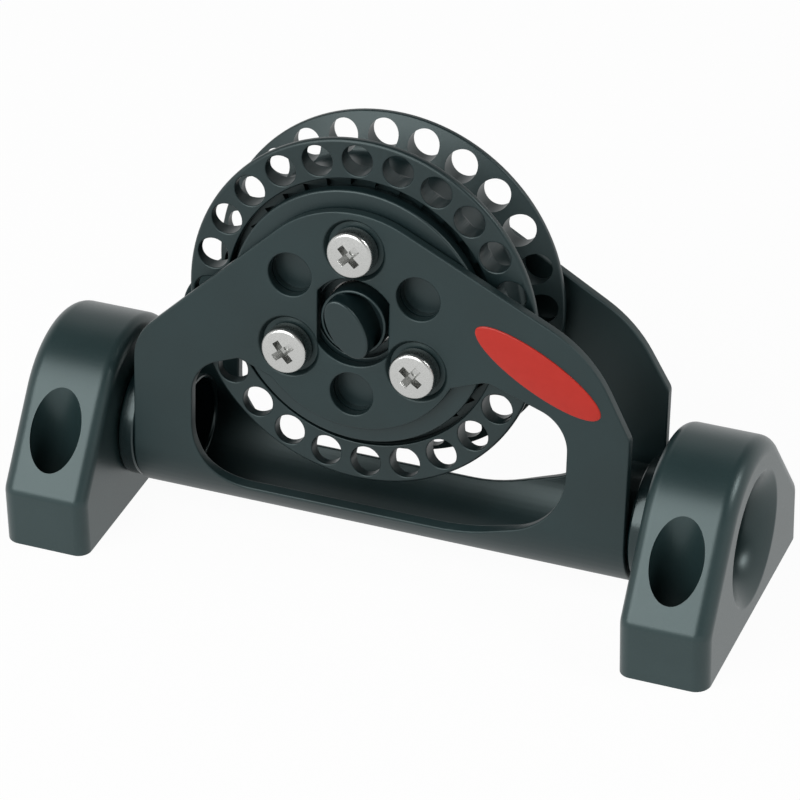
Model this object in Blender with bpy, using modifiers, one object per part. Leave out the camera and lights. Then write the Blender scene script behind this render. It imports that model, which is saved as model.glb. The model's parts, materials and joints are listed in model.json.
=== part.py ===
"""Pivoting ratchet block for a rope: a perforated ratchet sheave in a swinging U-bent cradle.

The cradle hangs between two deck feet on hollow trunnions, and the rope runs in through the
trunnions along the swing axis. Metres, +Z up, +X along the swing axis, the deck at Z = 0.
"""

import math

import bmesh
import bpy
from mathutils import Matrix, Vector

# Fits
SEAT_GAP = 0.0003  # between faces that rest on each other
RUN_GAP = 0.0003  # between faces that turn past each other
BALL_GAP = 0.00012  # between a ball and its tracks
CUT_PAST = 0.0020  # that a cutter runs past the face it cuts

# Feet
PIVOT_HEIGHT = 0.01415
FOOT_THICKNESS = 0.0150
FOOT_HALF_WIDTH = 0.0239
FOOT_FLANK_HEIGHT = 0.0103
FOOT_CROWN_RADIUS = 0.0166
FOOT_OUTER_EDGE = 0.0026  # rounding of the edges of the outer face
FOOT_INNER_EDGE = 0.0013
DECK_HOLE_INSET = 0.0069  # from the foot's front and back
DECK_HOLE_RADIUS = 0.00325
COUNTERBORE_RADIUS = 0.0045
COUNTERBORE_FLOOR = 0.0060
MOUTH_RADIUS = 0.0117
MOUTH_DEPTH = 0.0049

# Trunnions
ROPE_WAY_RADIUS = 0.0074
TRUNNION_RADIUS = 0.0090
COLLAR_RADIUS = 0.0102
COLLAR_LENGTH = 0.00345  # with the gaps at its ends, from the cradle to the foot
SPIGOT_LENGTH = 0.0070
ROPE_WAY_LIP = 0.0006

# Cradle, in its own frame: origin on the swing axis, Z up the cheeks
LEAN_DEG = 6.4  # how far the cradle leans back at rest
CRADLE_LENGTH = 0.0855
CRADLE_HALF_WIDTH = 0.01058
SHEET = 0.0018
SHEAVE_X = -0.0044
SHEAVE_HEIGHT = 0.0298
HUB_PLATE_RADIUS = 0.0192  # of the cheek's round top
LEFT_ARM_DEG = 43.6
RIGHT_ARM_DEG = 25.3
LEFT_CORNER_RADIUS = 0.0090
SHOULDER_X = 0.0355
SHOULDER_RADIUS = 0.0220
RIGHT_CORNER_HEIGHT = 0.0186
RIGHT_CORNER_RADIUS = 0.0020
WINDOW_HALF_LENGTH = 0.0324
WINDOW_SILL = -0.0043
WINDOW_HUB_RADIUS = 0.0188
WINDOW_LEFT_TOP = 0.0163
WINDOW_LEFT_PEAK = 0.0196  # height of the left lobe where it runs in under the hub plate
WINDOW_RIGHT_TOP = 0.0190
WINDOW_RIGHT_PEAK = 0.0237
WINDOW_TUCK = 0.0080  # that the window's outline runs in under the hub plate
LOBE_RADIUS = 0.0060
LEFT_PEAK_OFFSET = 0.0010  # of each lobe's peak from the hub plate's side
RIGHT_PEAK_OFFSET = 0.0042
RIGHT_PEAK_RADIUS = 0.0030
SILL_RADIUS = 0.0095
SWITCH_HOLE_RADIUS = 0.0076
SWITCH_HOLE_HALF_WIDTH = 0.0061

# Hub screws and the round recesses between them
SCREW_COUNT = 3
SCREW_CIRCLE = 0.0127
SCREW_RADIUS = 0.0020
SCREW_HEAD_RADIUS = 0.0039
SCREW_HEAD_HEIGHT = 0.0031
SCREW_LENGTH = 0.0078
DISH_RADIUS = 0.0051
DISH_DEPTH = 0.0009
DISH_TAPER = 0.0007
RECESS_RADIUS = 0.0037
RECESS_DEPTH = 0.0012  # into the hub cover behind the cheek

# Sheave
SHEAVE_RADIUS = 0.0300
SHEAVE_HALF_WIDTH = 0.00685
RIM_THICKNESS = 0.00125
RIM_ROUND = 0.0005
GROOVE_WALL = 0.0004  # between the groove's floor and the bores in the faces
GROOVE_HALF_WIDTH = 0.0024
FLANGE_ROOT = 0.0011  # width of the groove's rounded corner
HOLE_COUNT = 24
HOLE_RADIUS = 0.0026
HOLE_CLEARANCE = 0.0002  # between the holes and the groove's floor
HOLE_START_DEG = 2.7  # the first hole, from straight down towards +X
FACE_BORE_DEPTH = 0.0008
TOOTH_COUNT = 33
TOOTH_LEDGE = 0.0005  # from the bore in the face to the tooth roots
TOOTH_HEIGHT = 0.0014
TOOTH_DEPTH = 0.00245
TOOTH_FACE_DEG = 0.5  # that a tooth's locking face takes up

# Ball race
BALL_COUNT = 24
BALL_RADIUS = 0.00238
BALL_CIRCLE = 0.0188
SHOULDER_STEP = 0.0014  # from the ball circle to each track's shoulder

# Hub covers
COVER_RADIUS = 0.0222
COVER_CLEARANCE = 0.0011  # round the cover, in the bore of the sheave's face
COVER_RIM_ROUND = 0.0005
COVER_HOLE_RADIUS = 0.0070

# Pawls and their carrier
PAWL_COUNT = 3
PAWL_START_DEG = 15.0
PAWL_CIRCLE = 0.0145
PAWL_LENGTH = 0.0081
PAWL_PARKED_DEG = 57.9  # of the pawl's arm, from the radius through its pin
PAWL_EYE_RADIUS = 0.0023
PAWL_PIN_RADIUS = 0.0010
PAWL_PIN_SEAT = 0.0015
PAWL_NOSE = 0.0011
PAWL_TAIL_LENGTH = 0.0060
PAWL_TAIL_WIDTH = 0.0018
PAWL_TAIL_DEG = 159.6  # from the arm
PAWL_CORNER = 0.0003
TOOTH_CLEARANCE = 0.0005  # between the tooth tips and the pawls' carrier
POCKET_CORNER = 0.0006
POCKET_MOUTH = 0.0030  # that a pocket opens past the leaf spring's wall
SPRING_WALL_INSET = 0.0029  # of the wall's foot, inside the pins' circle
SPRING_WALL_OFFSET = 0.0036
SPRING_WALL_LENGTH = 0.0079
SPRING_WALL_DEG = 49.1  # from the radius through the pin
LEAF_THICKNESS = 0.0003
LEAF_LENGTH = 0.0060
LEAF_BOW = 0.0012

# Switch
SPINDLE_RADIUS = 0.0030
KNOB_RADIUS = 0.0056
KNOB_INSET = 0.0002  # of the knob's disc behind the cheek's face
GRIP_LENGTH = 0.0106
GRIP_WIDTH = 0.0061
GRIP_HEIGHT = 0.0032
KNOB_EDGE = 0.0004
KNOB_WALL = 0.0007
KNOB_CUP_DEPTH = 0.0012
GRIP_DEG = 122.0  # of the grip's long axis, seen from the front
CAM_LOBE_RADIUS = 0.0094
CAM_LOBE_HALF_DEG = 8.0
CAM_LOBE_ROUND = 0.0008
CAM_BASE_RADIUS = 0.0070
CAM_BASE_ROUND = 0.0020
CAM_LOBE_DEG = -20.5  # from each pawl's pin to its lobe
CLIP_RADIUS = 0.0050
CLIP_THICKNESS = 0.0006
CLIP_GROOVE = 0.0005
CLIP_OPENING_DEG = 60.0

# Worked out from the sizes above
HALF_CRADLE = CRADLE_LENGTH / 2
FOOT_INNER_X = HALF_CRADLE + COLLAR_LENGTH
DECK_HOLE_OFFSET = FOOT_HALF_WIDTH - DECK_HOLE_INSET
CHEEK_INNER = CRADLE_HALF_WIDTH - SHEET
COVER_FRONT = CHEEK_INNER - SEAT_GAP
HUB_FACE = SHEAVE_HALF_WIDTH - FACE_BORE_DEPTH
FACE_BORE_RADIUS = COVER_RADIUS + COVER_CLEARANCE
GROOVE_RADIUS = FACE_BORE_RADIUS + GROOVE_WALL
HOLE_CIRCLE = GROOVE_RADIUS + HOLE_CLEARANCE + HOLE_RADIUS
TOOTH_ROOT_RADIUS = FACE_BORE_RADIUS - TOOTH_LEDGE
TOOTH_TIP_RADIUS = TOOTH_ROOT_RADIUS - TOOTH_HEIGHT
COVER_BACK = HUB_FACE + SEAT_GAP
TOOTH_FLOOR = HUB_FACE - TOOTH_DEPTH
CARRIER_BACK = TOOTH_FLOOR + RUN_GAP
PAWL_THICKNESS = HUB_FACE - TOOTH_FLOOR - 2 * RUN_GAP
PAWL_MIDDLE = (HUB_FACE + TOOTH_FLOOR) / 2
CARRIER_RADIUS = TOOTH_TIP_RADIUS - TOOTH_CLEARANCE
TRACK_RADIUS = BALL_RADIUS + BALL_GAP
OUTER_SHOULDER = BALL_CIRCLE + SHOULDER_STEP
INNER_SHOULDER = BALL_CIRCLE - SHOULDER_STEP
SCREW_HOLE_RADIUS = SCREW_RADIUS + SEAT_GAP
SCREW_SEAT = CRADLE_HALF_WIDTH - DISH_DEPTH
CAM_RECESS_RADIUS = CAM_LOBE_RADIUS + RUN_GAP

FACING_FRONT = (math.pi / 2, 0, 0)  # drawing plane XZ, thickness towards -Y
ALONG_X = (math.pi / 2, 0, math.pi / 2)  # drawing plane YZ, thickness along X
ROUND_STEPS = 36
HUB_STEPS = 36
BORE_STEPS = 24
SMALL_STEPS = 10
PIN_STEPS = 10
ARC_STEP_DEG = 18.0


def clear_scene():
    for obj in list(bpy.data.objects):
        bpy.data.objects.remove(obj, do_unlink=True)


def new_collection(name):
    made = bpy.data.collections.new(name)
    bpy.context.scene.collection.children.link(made)
    return made


def material(name, colour, roughness, metallic):
    made = bpy.data.materials.new(name)
    made.use_nodes = True
    shader = made.node_tree.nodes["Principled BSDF"]
    shader.inputs["Base Color"].default_value = (*colour, 1)
    shader.inputs["Roughness"].default_value = roughness
    shader.inputs["Metallic"].default_value = metallic
    made.diffuse_color = (*colour, 1)
    return made


clear_scene()
PARTS = new_collection("ratchet_block")
CUTTERS = new_collection("cutters")
BLACK_ANODISED = material("black_anodised_aluminium", (0.020, 0.024, 0.026), 0.38, 0.6)
BLACK_MOULDED = material("black_moulded_nylon", (0.022, 0.026, 0.028), 0.50, 0.0)
STAINLESS = material("stainless_steel", (0.55, 0.54, 0.52), 0.25, 1.0)
ACETAL = material("white_acetal", (0.75, 0.74, 0.70), 0.45, 0.0)


def place(name, mesh, surface, parent=None, location=(0, 0, 0), rotation=(0, 0, 0)):
    """Puts a mesh in the scene as a part or, with no surface, as a cutter."""
    obj = bpy.data.objects.new(name, mesh)
    obj.parent = parent
    obj.location = location
    obj.rotation_euler = rotation
    if surface is None:
        CUTTERS.objects.link(obj)
        obj.hide_render = True
        obj.display_type = "WIRE"
        return obj
    PARTS.objects.link(obj)
    mesh.materials.clear()
    mesh.materials.append(surface)
    return obj


def axis_empty(name, parent=None, location=(0, 0, 0), rotation=(0, 0, 0)):
    empty = bpy.data.objects.new(name, None)
    PARTS.objects.link(empty)
    empty.parent = parent
    empty.location = location
    empty.rotation_euler = rotation
    return empty


def mesh_from_bmesh(name, bm):
    mesh = bpy.data.meshes.new(name)
    bm.to_mesh(mesh)
    bm.free()
    mesh.shade_smooth()
    mesh.set_sharp_from_angle(angle=math.radians(30))
    return mesh


def polar(radius, degrees):
    angle = math.radians(degrees)
    return Vector((radius * math.cos(angle), radius * math.sin(angle)))


def rounded(corners):
    """A closed outline through corners (x, y, radius), each turned by an arc of that radius."""
    points = []
    for i, (x, y, radius) in enumerate(corners):
        here = Vector((x, y))
        to_last = (Vector(corners[i - 1][:2]) - here).normalized()
        to_next = (Vector(corners[(i + 1) % len(corners)][:2]) - here).normalized()
        if radius == 0:
            points.append(here)
            continue
        half = to_last.angle(to_next) / 2
        centre = here + (to_last + to_next).normalized() * radius / math.sin(half)
        start = here + to_last * radius / math.tan(half) - centre
        sweep = (here + to_next * radius / math.tan(half) - centre).angle_signed(start)
        count = max(2, math.ceil(abs(math.degrees(sweep)) / ARC_STEP_DEG))
        for k in range(count + 1):
            points.append(centre + Matrix.Rotation(sweep * k / count, 2) @ start)
    return points


def plate_mesh(name, outlines, thickness):
    """Flat outlines, holes among them, filled and extruded along their local Z."""
    curve = bpy.data.curves.new(name, "CURVE")
    curve.dimensions = "2D"
    curve.fill_mode = "BOTH"
    curve.extrude = thickness / 2
    for outline in outlines:
        spline = curve.splines.new("POLY")
        spline.points.add(len(outline) - 1)
        for point, (x, y) in zip(spline.points, outline):
            point.co = (x, y, 0, 1)
        spline.use_cyclic_u = True
    guide = bpy.data.objects.new(name + "_outline", curve)
    CUTTERS.objects.link(guide)
    graph = bpy.context.evaluated_depsgraph_get()
    mesh = bpy.data.meshes.new_from_object(guide.evaluated_get(graph))
    bpy.data.objects.remove(guide)
    bm = bmesh.new()
    bm.from_mesh(mesh)
    bmesh.ops.remove_doubles(bm, verts=bm.verts, dist=0.00001)
    bmesh.ops.recalc_face_normals(bm, faces=bm.faces)
    return mesh_from_bmesh(name, bm)


def turned(name, profile, surface, parent, location, rotation, steps=ROUND_STEPS, closed=True):
    """A profile (radius, height), outer side from top to bottom, spun about its local Z."""
    bm = bmesh.new()
    verts = [bm.verts.new((radius, 0, height)) for radius, height in profile]
    for one, two in zip(verts, verts[1:]):
        bm.edges.new((one, two))
    if closed:
        bm.edges.new((verts[-1], verts[0]))
    obj = place(name, mesh_from_bmesh(name, bm), surface, parent, location, rotation)
    screw = obj.modifiers.new("turn", "SCREW")
    screw.steps = screw.render_steps = steps
    screw.use_merge_vertices = True
    screw.merge_threshold = 0.00001
    return obj


def cylinder(name, radius, low, high, parent, location, rotation, steps=SMALL_STEPS, top=None):
    """A cutter from local Z = low to high, with radius top at its high end if given."""
    bm = bmesh.new()
    end = radius if top is None else top
    middle = Matrix.Translation((0, 0, (low + high) / 2))
    bmesh.ops.create_cone(
        bm, cap_ends=True, segments=steps, radius1=radius, radius2=end, depth=high - low, matrix=middle
    )
    return place(name, mesh_from_bmesh(name, bm), None, parent, location, rotation)


def combine(target, operation, other):
    step = target.modifiers.new(f"{operation.lower()}_{other.name}", "BOOLEAN")
    step.operation = operation
    step.object = other


def cut(target, *others):
    for other in others:
        combine(target, "DIFFERENCE", other)


def arc(centre_radius, centre_height, radius, start, end, count):
    """Profile points on an arc in the turning plane, its angles in degrees from +radius."""
    points = []
    for k in range(count + 1):
        x, y = polar(radius, start + (end - start) * k / count)
        points.append((centre_radius + x, centre_height + y))
    return points


def foot_outline():
    """Half of the foot's end view: vertical flank, sloping flank, then the crown's arc."""
    corner = Vector((FOOT_HALF_WIDTH, FOOT_FLANK_HEIGHT - PIVOT_HEIGHT))
    slope = math.acos(FOOT_CROWN_RADIUS / corner.length)
    touch = math.degrees(math.atan2(corner.y, corner.x) + slope)
    count = math.ceil((90 - touch) / ARC_STEP_DEG)
    half = [(FOOT_HALF_WIDTH, 0.0), (FOOT_HALF_WIDTH, FOOT_FLANK_HEIGHT)]
    for k in range(count + 1):
        x, y = polar(FOOT_CROWN_RADIUS, touch + (90 - touch) * k / count)
        half.append((x, y + PIVOT_HEIGHT))
    return half + [(-x, y) for x, y in half[-2::-1]]


def weight_rounded_edges(mesh, side):
    """Marks the edges of the foot's two ends for rounding, all but those that lie on the deck."""
    bm = bmesh.new()
    bm.from_mesh(mesh)
    bmesh.ops.dissolve_limit(bm, angle_limit=0.01, verts=bm.verts, edges=bm.edges)
    weight = bm.edges.layers.float.new("bevel_weight_edge")
    for edge in bm.edges:
        across = abs(edge.verts[0].co.z - edge.verts[1].co.z) < SEAT_GAP
        on_deck = max(v.co.y for v in edge.verts) < SEAT_GAP
        outer = edge.verts[0].co.z * side > 0
        width = 1.0 if outer else FOOT_INNER_EDGE / FOOT_OUTER_EDGE
        edge[weight] = width if across and not on_deck else 0.0
    bm.to_mesh(mesh)
    bm.free()


def mouth_profile():
    """The foot's bore, from inside the cradle gap (low) to the bell mouth (high)."""
    socket = TRUNNION_RADIUS + RUN_GAP
    throat = FOOT_THICKNESS - MOUTH_DEPTH
    bell = []
    for k in range(6):
        angle = math.radians(90 * k / 5)
        flare = (MOUTH_RADIUS - ROPE_WAY_RADIUS) * (1 - math.cos(angle))
        bell.append((ROPE_WAY_RADIUS + flare, throat + MOUTH_DEPTH * math.sin(angle)))
    outside = [(0, FOOT_THICKNESS + CUT_PAST), (MOUTH_RADIUS, FOOT_THICKNESS + CUT_PAST)]
    return outside + bell[::-1] + [(socket, throat), (socket, -CUT_PAST), (0, -CUT_PAST)]


def make_foot(name, side):
    """A moulded D-shaped foot with a bell-mouthed bore and two counterbored deck screw holes."""
    mesh = plate_mesh(name, [foot_outline()], FOOT_THICKNESS)
    weight_rounded_edges(mesh, side)
    middle_x = side * (FOOT_INNER_X + FOOT_THICKNESS / 2)
    foot = place(name, mesh, BLACK_MOULDED, None, (middle_x, 0, 0), ALONG_X)
    edge = foot.modifiers.new("edge_rounding", "BEVEL")
    edge.limit_method = "WEIGHT"
    edge.width = FOOT_OUTER_EDGE
    edge.segments = 2
    at_bore = (side * FOOT_INNER_X, 0, PIVOT_HEIGHT)
    outwards = (0, side * math.pi / 2, 0)
    cut(foot, turned(name + "_bore", mouth_profile(), None, None, at_bore, outwards, BORE_STEPS, False))
    tall = PIVOT_HEIGHT + FOOT_CROWN_RADIUS + FOOT_HALF_WIDTH
    for label, y in (("front", -DECK_HOLE_OFFSET), ("back", DECK_HOLE_OFFSET)):
        where = (middle_x, y, 0)
        drill = cylinder(f"{name}_{label}_hole", DECK_HOLE_RADIUS, -CUT_PAST, tall, None, where, (0, 0, 0))
        sink = cylinder(
            f"{name}_{label}_counterbore", COUNTERBORE_RADIUS, COUNTERBORE_FLOOR, tall, None, where, (0, 0, 0)
        )
        cut(foot, drill, sink)
    return foot


def make_trunnion(name, side, cradle_frame):
    """A hollow pivot: a spigot in the trough's end, a collar in the gap, a journal in the foot."""
    collar_end = FOOT_INNER_X - RUN_GAP
    journal_end = FOOT_INNER_X + FOOT_THICKNESS - MOUTH_DEPTH - RUN_GAP
    spigot_start = HALF_CRADLE - SPIGOT_LENGTH
    spigot_radius = CHEEK_INNER - SEAT_GAP
    profile = [
        (TRUNNION_RADIUS, journal_end),
        (TRUNNION_RADIUS, collar_end),
        (COLLAR_RADIUS, collar_end),
        (COLLAR_RADIUS, HALF_CRADLE + SEAT_GAP),
        (spigot_radius, HALF_CRADLE + SEAT_GAP),
        (spigot_radius, spigot_start),
        (ROPE_WAY_RADIUS + ROPE_WAY_LIP, spigot_start),
        (ROPE_WAY_RADIUS, spigot_start + ROPE_WAY_LIP),
        (ROPE_WAY_RADIUS, journal_end),
    ]
    rotation = (0, side * math.pi / 2, 0)
    return turned(name, profile, BLACK_MOULDED, cradle_frame, (0, 0, 0), rotation, BORE_STEPS)


def section_of_sheet():
    """End view of the bent sheet: two upright cheeks on a half-round trough."""
    top = SHEAVE_HEIGHT + 1.2 * HUB_PLATE_RADIUS
    outside = [(CRADLE_HALF_WIDTH, top)]
    inside = [(CHEEK_INNER, top)]
    count = 14
    for k in range(count + 1):
        degrees = -180 * k / count
        outside.append(tuple(polar(CRADLE_HALF_WIDTH, degrees)))
        inside.append(tuple(polar(CHEEK_INNER, degrees)))
    outside.append((-CRADLE_HALF_WIDTH, top))
    inside.append((-CHEEK_INNER, top))
    return outside + inside[::-1]


def cheek_outline():
    """Front view of a cheek: two arms that run off the round top over the sheave's hub."""
    hub = Vector((SHEAVE_X, SHEAVE_HEIGHT))
    left = math.tan(math.radians(LEFT_ARM_DEG))
    right = -math.tan(math.radians(RIGHT_ARM_DEG))
    left_at_zero = hub.y + HUB_PLATE_RADIUS * math.hypot(1, left) - left * hub.x
    right_at_zero = hub.y + HUB_PLATE_RADIUS * math.hypot(1, right) - right * hub.x
    peak_x = (right_at_zero - left_at_zero) / (left - right)
    below = -CRADLE_HALF_WIDTH - CUT_PAST
    return rounded(
        [
            (-HALF_CRADLE, below, 0),
            (-HALF_CRADLE, left_at_zero - left * HALF_CRADLE, LEFT_CORNER_RADIUS),
            (peak_x, left_at_zero + left * peak_x, HUB_PLATE_RADIUS),
            (SHOULDER_X, right_at_zero + right * SHOULDER_X, SHOULDER_RADIUS),
            (HALF_CRADLE, RIGHT_CORNER_HEIGHT, RIGHT_CORNER_RADIUS),
            (HALF_CRADLE, below, 0),
        ]
    )


def window_outline():
    """The window under the hub: a long sill with a raised lobe at each side of the sheave."""
    hub_left = SHEAVE_X - WINDOW_HUB_RADIUS
    hub_right = SHEAVE_X + WINDOW_HUB_RADIUS
    return rounded(
        [
            (-WINDOW_HALF_LENGTH, WINDOW_SILL, SILL_RADIUS),
            (-WINDOW_HALF_LENGTH, WINDOW_LEFT_TOP, LOBE_RADIUS),
            (hub_left - LEFT_PEAK_OFFSET, WINDOW_LEFT_PEAK, LEFT_PEAK_OFFSET),
            (hub_left + WINDOW_TUCK, WINDOW_LEFT_TOP, 0),
            (hub_right - WINDOW_TUCK, WINDOW_RIGHT_TOP, 0),
            (hub_right + RIGHT_PEAK_OFFSET, WINDOW_RIGHT_PEAK, RIGHT_PEAK_RADIUS),
            (WINDOW_HALF_LENGTH, WINDOW_RIGHT_TOP, LOBE_RADIUS),
            (WINDOW_HALF_LENGTH, WINDOW_SILL, SILL_RADIUS),
        ]
    )


def switch_hole_outline():
    """A round hole with two flats, for the switch's knob."""
    flat = math.degrees(math.acos(SWITCH_HOLE_HALF_WIDTH / SWITCH_HOLE_RADIUS))
    points = []
    for middle in (90, 270):
        reach = 90 - flat
        points += [polar(SWITCH_HOLE_RADIUS, middle + reach * k / 6) for k in range(-6, 7)]
    return points


def hub_places():
    """Angles of the hub screws and of the recesses between them, seen from the front."""
    screws = [90 + 360 * k / SCREW_COUNT for k in range(SCREW_COUNT)]
    recesses = [angle + 180 / SCREW_COUNT for angle in screws]
    return screws, recesses


def make_cradle(cradle_frame, hub_axis):
    """The bent and pierced sheet, in one piece."""
    mesh = plate_mesh("cradle", [section_of_sheet()], CRADLE_LENGTH)
    cradle = place("cradle", mesh, BLACK_ANODISED, cradle_frame, (0, 0, 0), ALONG_X)
    through = 2 * (CRADLE_HALF_WIDTH + CUT_PAST)
    outline = place(
        "cheek_outline", plate_mesh("cheek_outline", [cheek_outline()], through), None, cradle_frame,
        (0, 0, 0), FACING_FRONT,
    )
    combine(cradle, "INTERSECT", outline)
    window = place(
        "window", plate_mesh("window", [window_outline()], through), None, cradle_frame,
        (0, 0, 0), FACING_FRONT,
    )
    hub_plate = cylinder(
        "hub_plate", WINDOW_HUB_RADIUS, -through, through, hub_axis, (0, 0, 0), (0, 0, 0), ROUND_STEPS
    )
    cut(window, hub_plate)
    cut(cradle, window)
    screws, recesses = hub_places()
    for k, angle in enumerate(screws):
        where = (*polar(SCREW_CIRCLE, angle), 0)
        cut(cradle, cylinder(f"screw_way_{k}", SCREW_HOLE_RADIUS, -through, through, hub_axis, where, (0, 0, 0)))
        for side, label in ((1, "front"), (-1, "back")):
            turn = (0, 0, 0) if side == 1 else (math.pi, 0, 0)
            dish = cylinder(
                f"{label}_dish_{k}", DISH_RADIUS - DISH_TAPER, SCREW_SEAT, CRADLE_HALF_WIDTH + DISH_DEPTH,
                hub_axis, where, turn, SMALL_STEPS, DISH_RADIUS + DISH_TAPER,
            )
            cut(cradle, dish)
    for k, angle in enumerate(recesses):
        where = (*polar(SCREW_CIRCLE, angle), 0)
        cut(cradle, cylinder(f"recess_{k}", RECESS_RADIUS, 0, through, hub_axis, where, (0, 0, 0)))
    knob_way = place(
        "switch_hole", plate_mesh("switch_hole", [switch_hole_outline()], CRADLE_HALF_WIDTH), None,
        hub_axis, (0, 0, CRADLE_HALF_WIDTH),
    )
    cut(cradle, knob_way)
    return cradle


def track(centre_radius, start, end):
    return arc(centre_radius, 0, TRACK_RADIUS, start, end, 3)


def make_sheave(hub_axis):
    """A perforated sheave with a rope groove, an inner ball track and ratchet teeth in its front."""
    half, rim = SHEAVE_HALF_WIDTH, RIM_ROUND
    inner_edge = half - RIM_THICKNESS
    reach = math.degrees(math.acos(SHOULDER_STEP / TRACK_RADIUS))
    side = [
        (SHEAVE_RADIUS - rim, half),
        (SHEAVE_RADIUS, half - rim),
        (SHEAVE_RADIUS, inner_edge),
        (GROOVE_RADIUS + FLANGE_ROOT, GROOVE_HALF_WIDTH + FLANGE_ROOT),
        (GROOVE_RADIUS, GROOVE_HALF_WIDTH),
    ]
    mirrored = [(radius, -height) for radius, height in side[::-1]]
    bore = [
        (FACE_BORE_RADIUS, -half),
        (FACE_BORE_RADIUS, -HUB_FACE),
        (OUTER_SHOULDER, -HUB_FACE),
        *track(BALL_CIRCLE, -reach, reach),
        (OUTER_SHOULDER, HUB_FACE),
        (FACE_BORE_RADIUS, HUB_FACE),
        (FACE_BORE_RADIUS, half),
    ]
    sheave = turned("sheave", side + mirrored + bore, BLACK_ANODISED, hub_axis, (0, 0, 0), (0, 0, 0))
    drill = bmesh.new()
    for k in range(HOLE_COUNT):
        x, y = polar(HOLE_CIRCLE, HOLE_START_DEG - 90 + 360 * k / HOLE_COUNT)
        bmesh.ops.create_cone(
            drill, cap_ends=True, segments=SMALL_STEPS, radius1=HOLE_RADIUS, radius2=HOLE_RADIUS,
            depth=3 * half, matrix=Matrix.Translation((x, y, 0)),
        )
    cut(sheave, place("flange_holes", mesh_from_bmesh("flange_holes", drill), None, hub_axis))
    teeth = place(
        "ratchet_teeth", plate_mesh("ratchet_teeth", [tooth_outline()], TOOTH_DEPTH + CUT_PAST), None,
        hub_axis, (0, 0, TOOTH_FLOOR + (TOOTH_DEPTH + CUT_PAST) / 2),
    )
    cut(sheave, teeth)
    return sheave


def tooth_outline():
    """The inner ratchet ring: each tooth is a long ramp that ends in a steep locking face."""
    points = []
    for k in range(TOOTH_COUNT):
        angle = 360 * k / TOOTH_COUNT
        points.append(polar(TOOTH_ROOT_RADIUS, angle - TOOTH_FACE_DEG))
        points.append(polar(TOOTH_TIP_RADIUS, angle))
    return points


def make_balls(hub_axis):
    bm = bmesh.new()
    bmesh.ops.create_icosphere(bm, subdivisions=2, radius=BALL_RADIUS)
    mesh = mesh_from_bmesh("bearing_ball", bm)
    for k in range(BALL_COUNT):
        where = (*polar(BALL_CIRCLE, 360 * k / BALL_COUNT), 0)
        place(f"bearing_ball_{k + 1:02d}", mesh, ACETAL, hub_axis, where)


def make_cover(name, front, hub_axis):
    """A turned disc between a cheek and the hub; the front one has the switch and the recesses."""
    rim = COVER_RIM_ROUND
    bore = COVER_HOLE_RADIUS if front else SPINDLE_RADIUS + RUN_GAP
    profile = [
        (COVER_RADIUS - rim, COVER_FRONT),
        (COVER_RADIUS, COVER_FRONT - rim),
        (COVER_RADIUS, COVER_BACK),
        (bore, COVER_BACK),
        (bore, COVER_FRONT),
    ]
    turn = (0, 0, 0) if front else (math.pi, 0, 0)
    cover = turned(name, profile, BLACK_MOULDED, hub_axis, (0, 0, 0), turn)
    screws, recesses = hub_places()
    for k, angle in enumerate(screws):
        where = (*polar(SCREW_CIRCLE, angle), 0)
        way = cylinder(
            f"{name}_screw_way_{k}", SCREW_HOLE_RADIUS, COVER_BACK - CUT_PAST, COVER_FRONT + CUT_PAST,
            hub_axis, where, turn,
        )
        cut(cover, way)
    if front:
        for k, angle in enumerate(recesses):
            where = (*polar(SCREW_CIRCLE, angle), 0)
            floor = COVER_FRONT - RECESS_DEPTH
            cut(cover, cylinder(
                f"{name}_recess_{k}", RECESS_RADIUS, floor, COVER_FRONT + CUT_PAST, hub_axis, where, turn
            ))
    return cover


def pocket_outline():
    """Room for a pawl, its tail and its leaf spring, for a pin on the local X axis."""
    eye = PAWL_EYE_RADIUS + 3 * RUN_GAP
    wall_start, wall_end = pocket_wall()
    rim = CARRIER_RADIUS + CUT_PAST
    inside = CAM_RECESS_RADIUS - CUT_PAST
    tail_end = Vector((PAWL_CIRCLE, 0)) + polar(PAWL_TAIL_LENGTH, PAWL_PARKED_DEG + PAWL_TAIL_DEG)
    return rounded(
        [
            (inside, tail_end.y - 0.5 * PAWL_TAIL_WIDTH, 0),
            (tail_end.x, tail_end.y - 0.9 * PAWL_TAIL_WIDTH, POCKET_CORNER),
            (PAWL_CIRCLE + eye, -eye, POCKET_CORNER),
            (rim, -eye / 2, 0),
            (rim, wall_end.y + POCKET_MOUTH, 0),
            (wall_end.x, wall_end.y, POCKET_CORNER),
            (wall_start.x, wall_start.y, POCKET_CORNER),
            (inside, wall_start.y, 0),
        ]
    )


def pocket_wall():
    """The wall that a pawl's leaf spring leans on, as its inner and outer ends."""
    start = Vector((PAWL_CIRCLE - SPRING_WALL_INSET, SPRING_WALL_OFFSET))
    end = start + polar(SPRING_WALL_LENGTH, SPRING_WALL_DEG)
    return start, end


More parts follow.
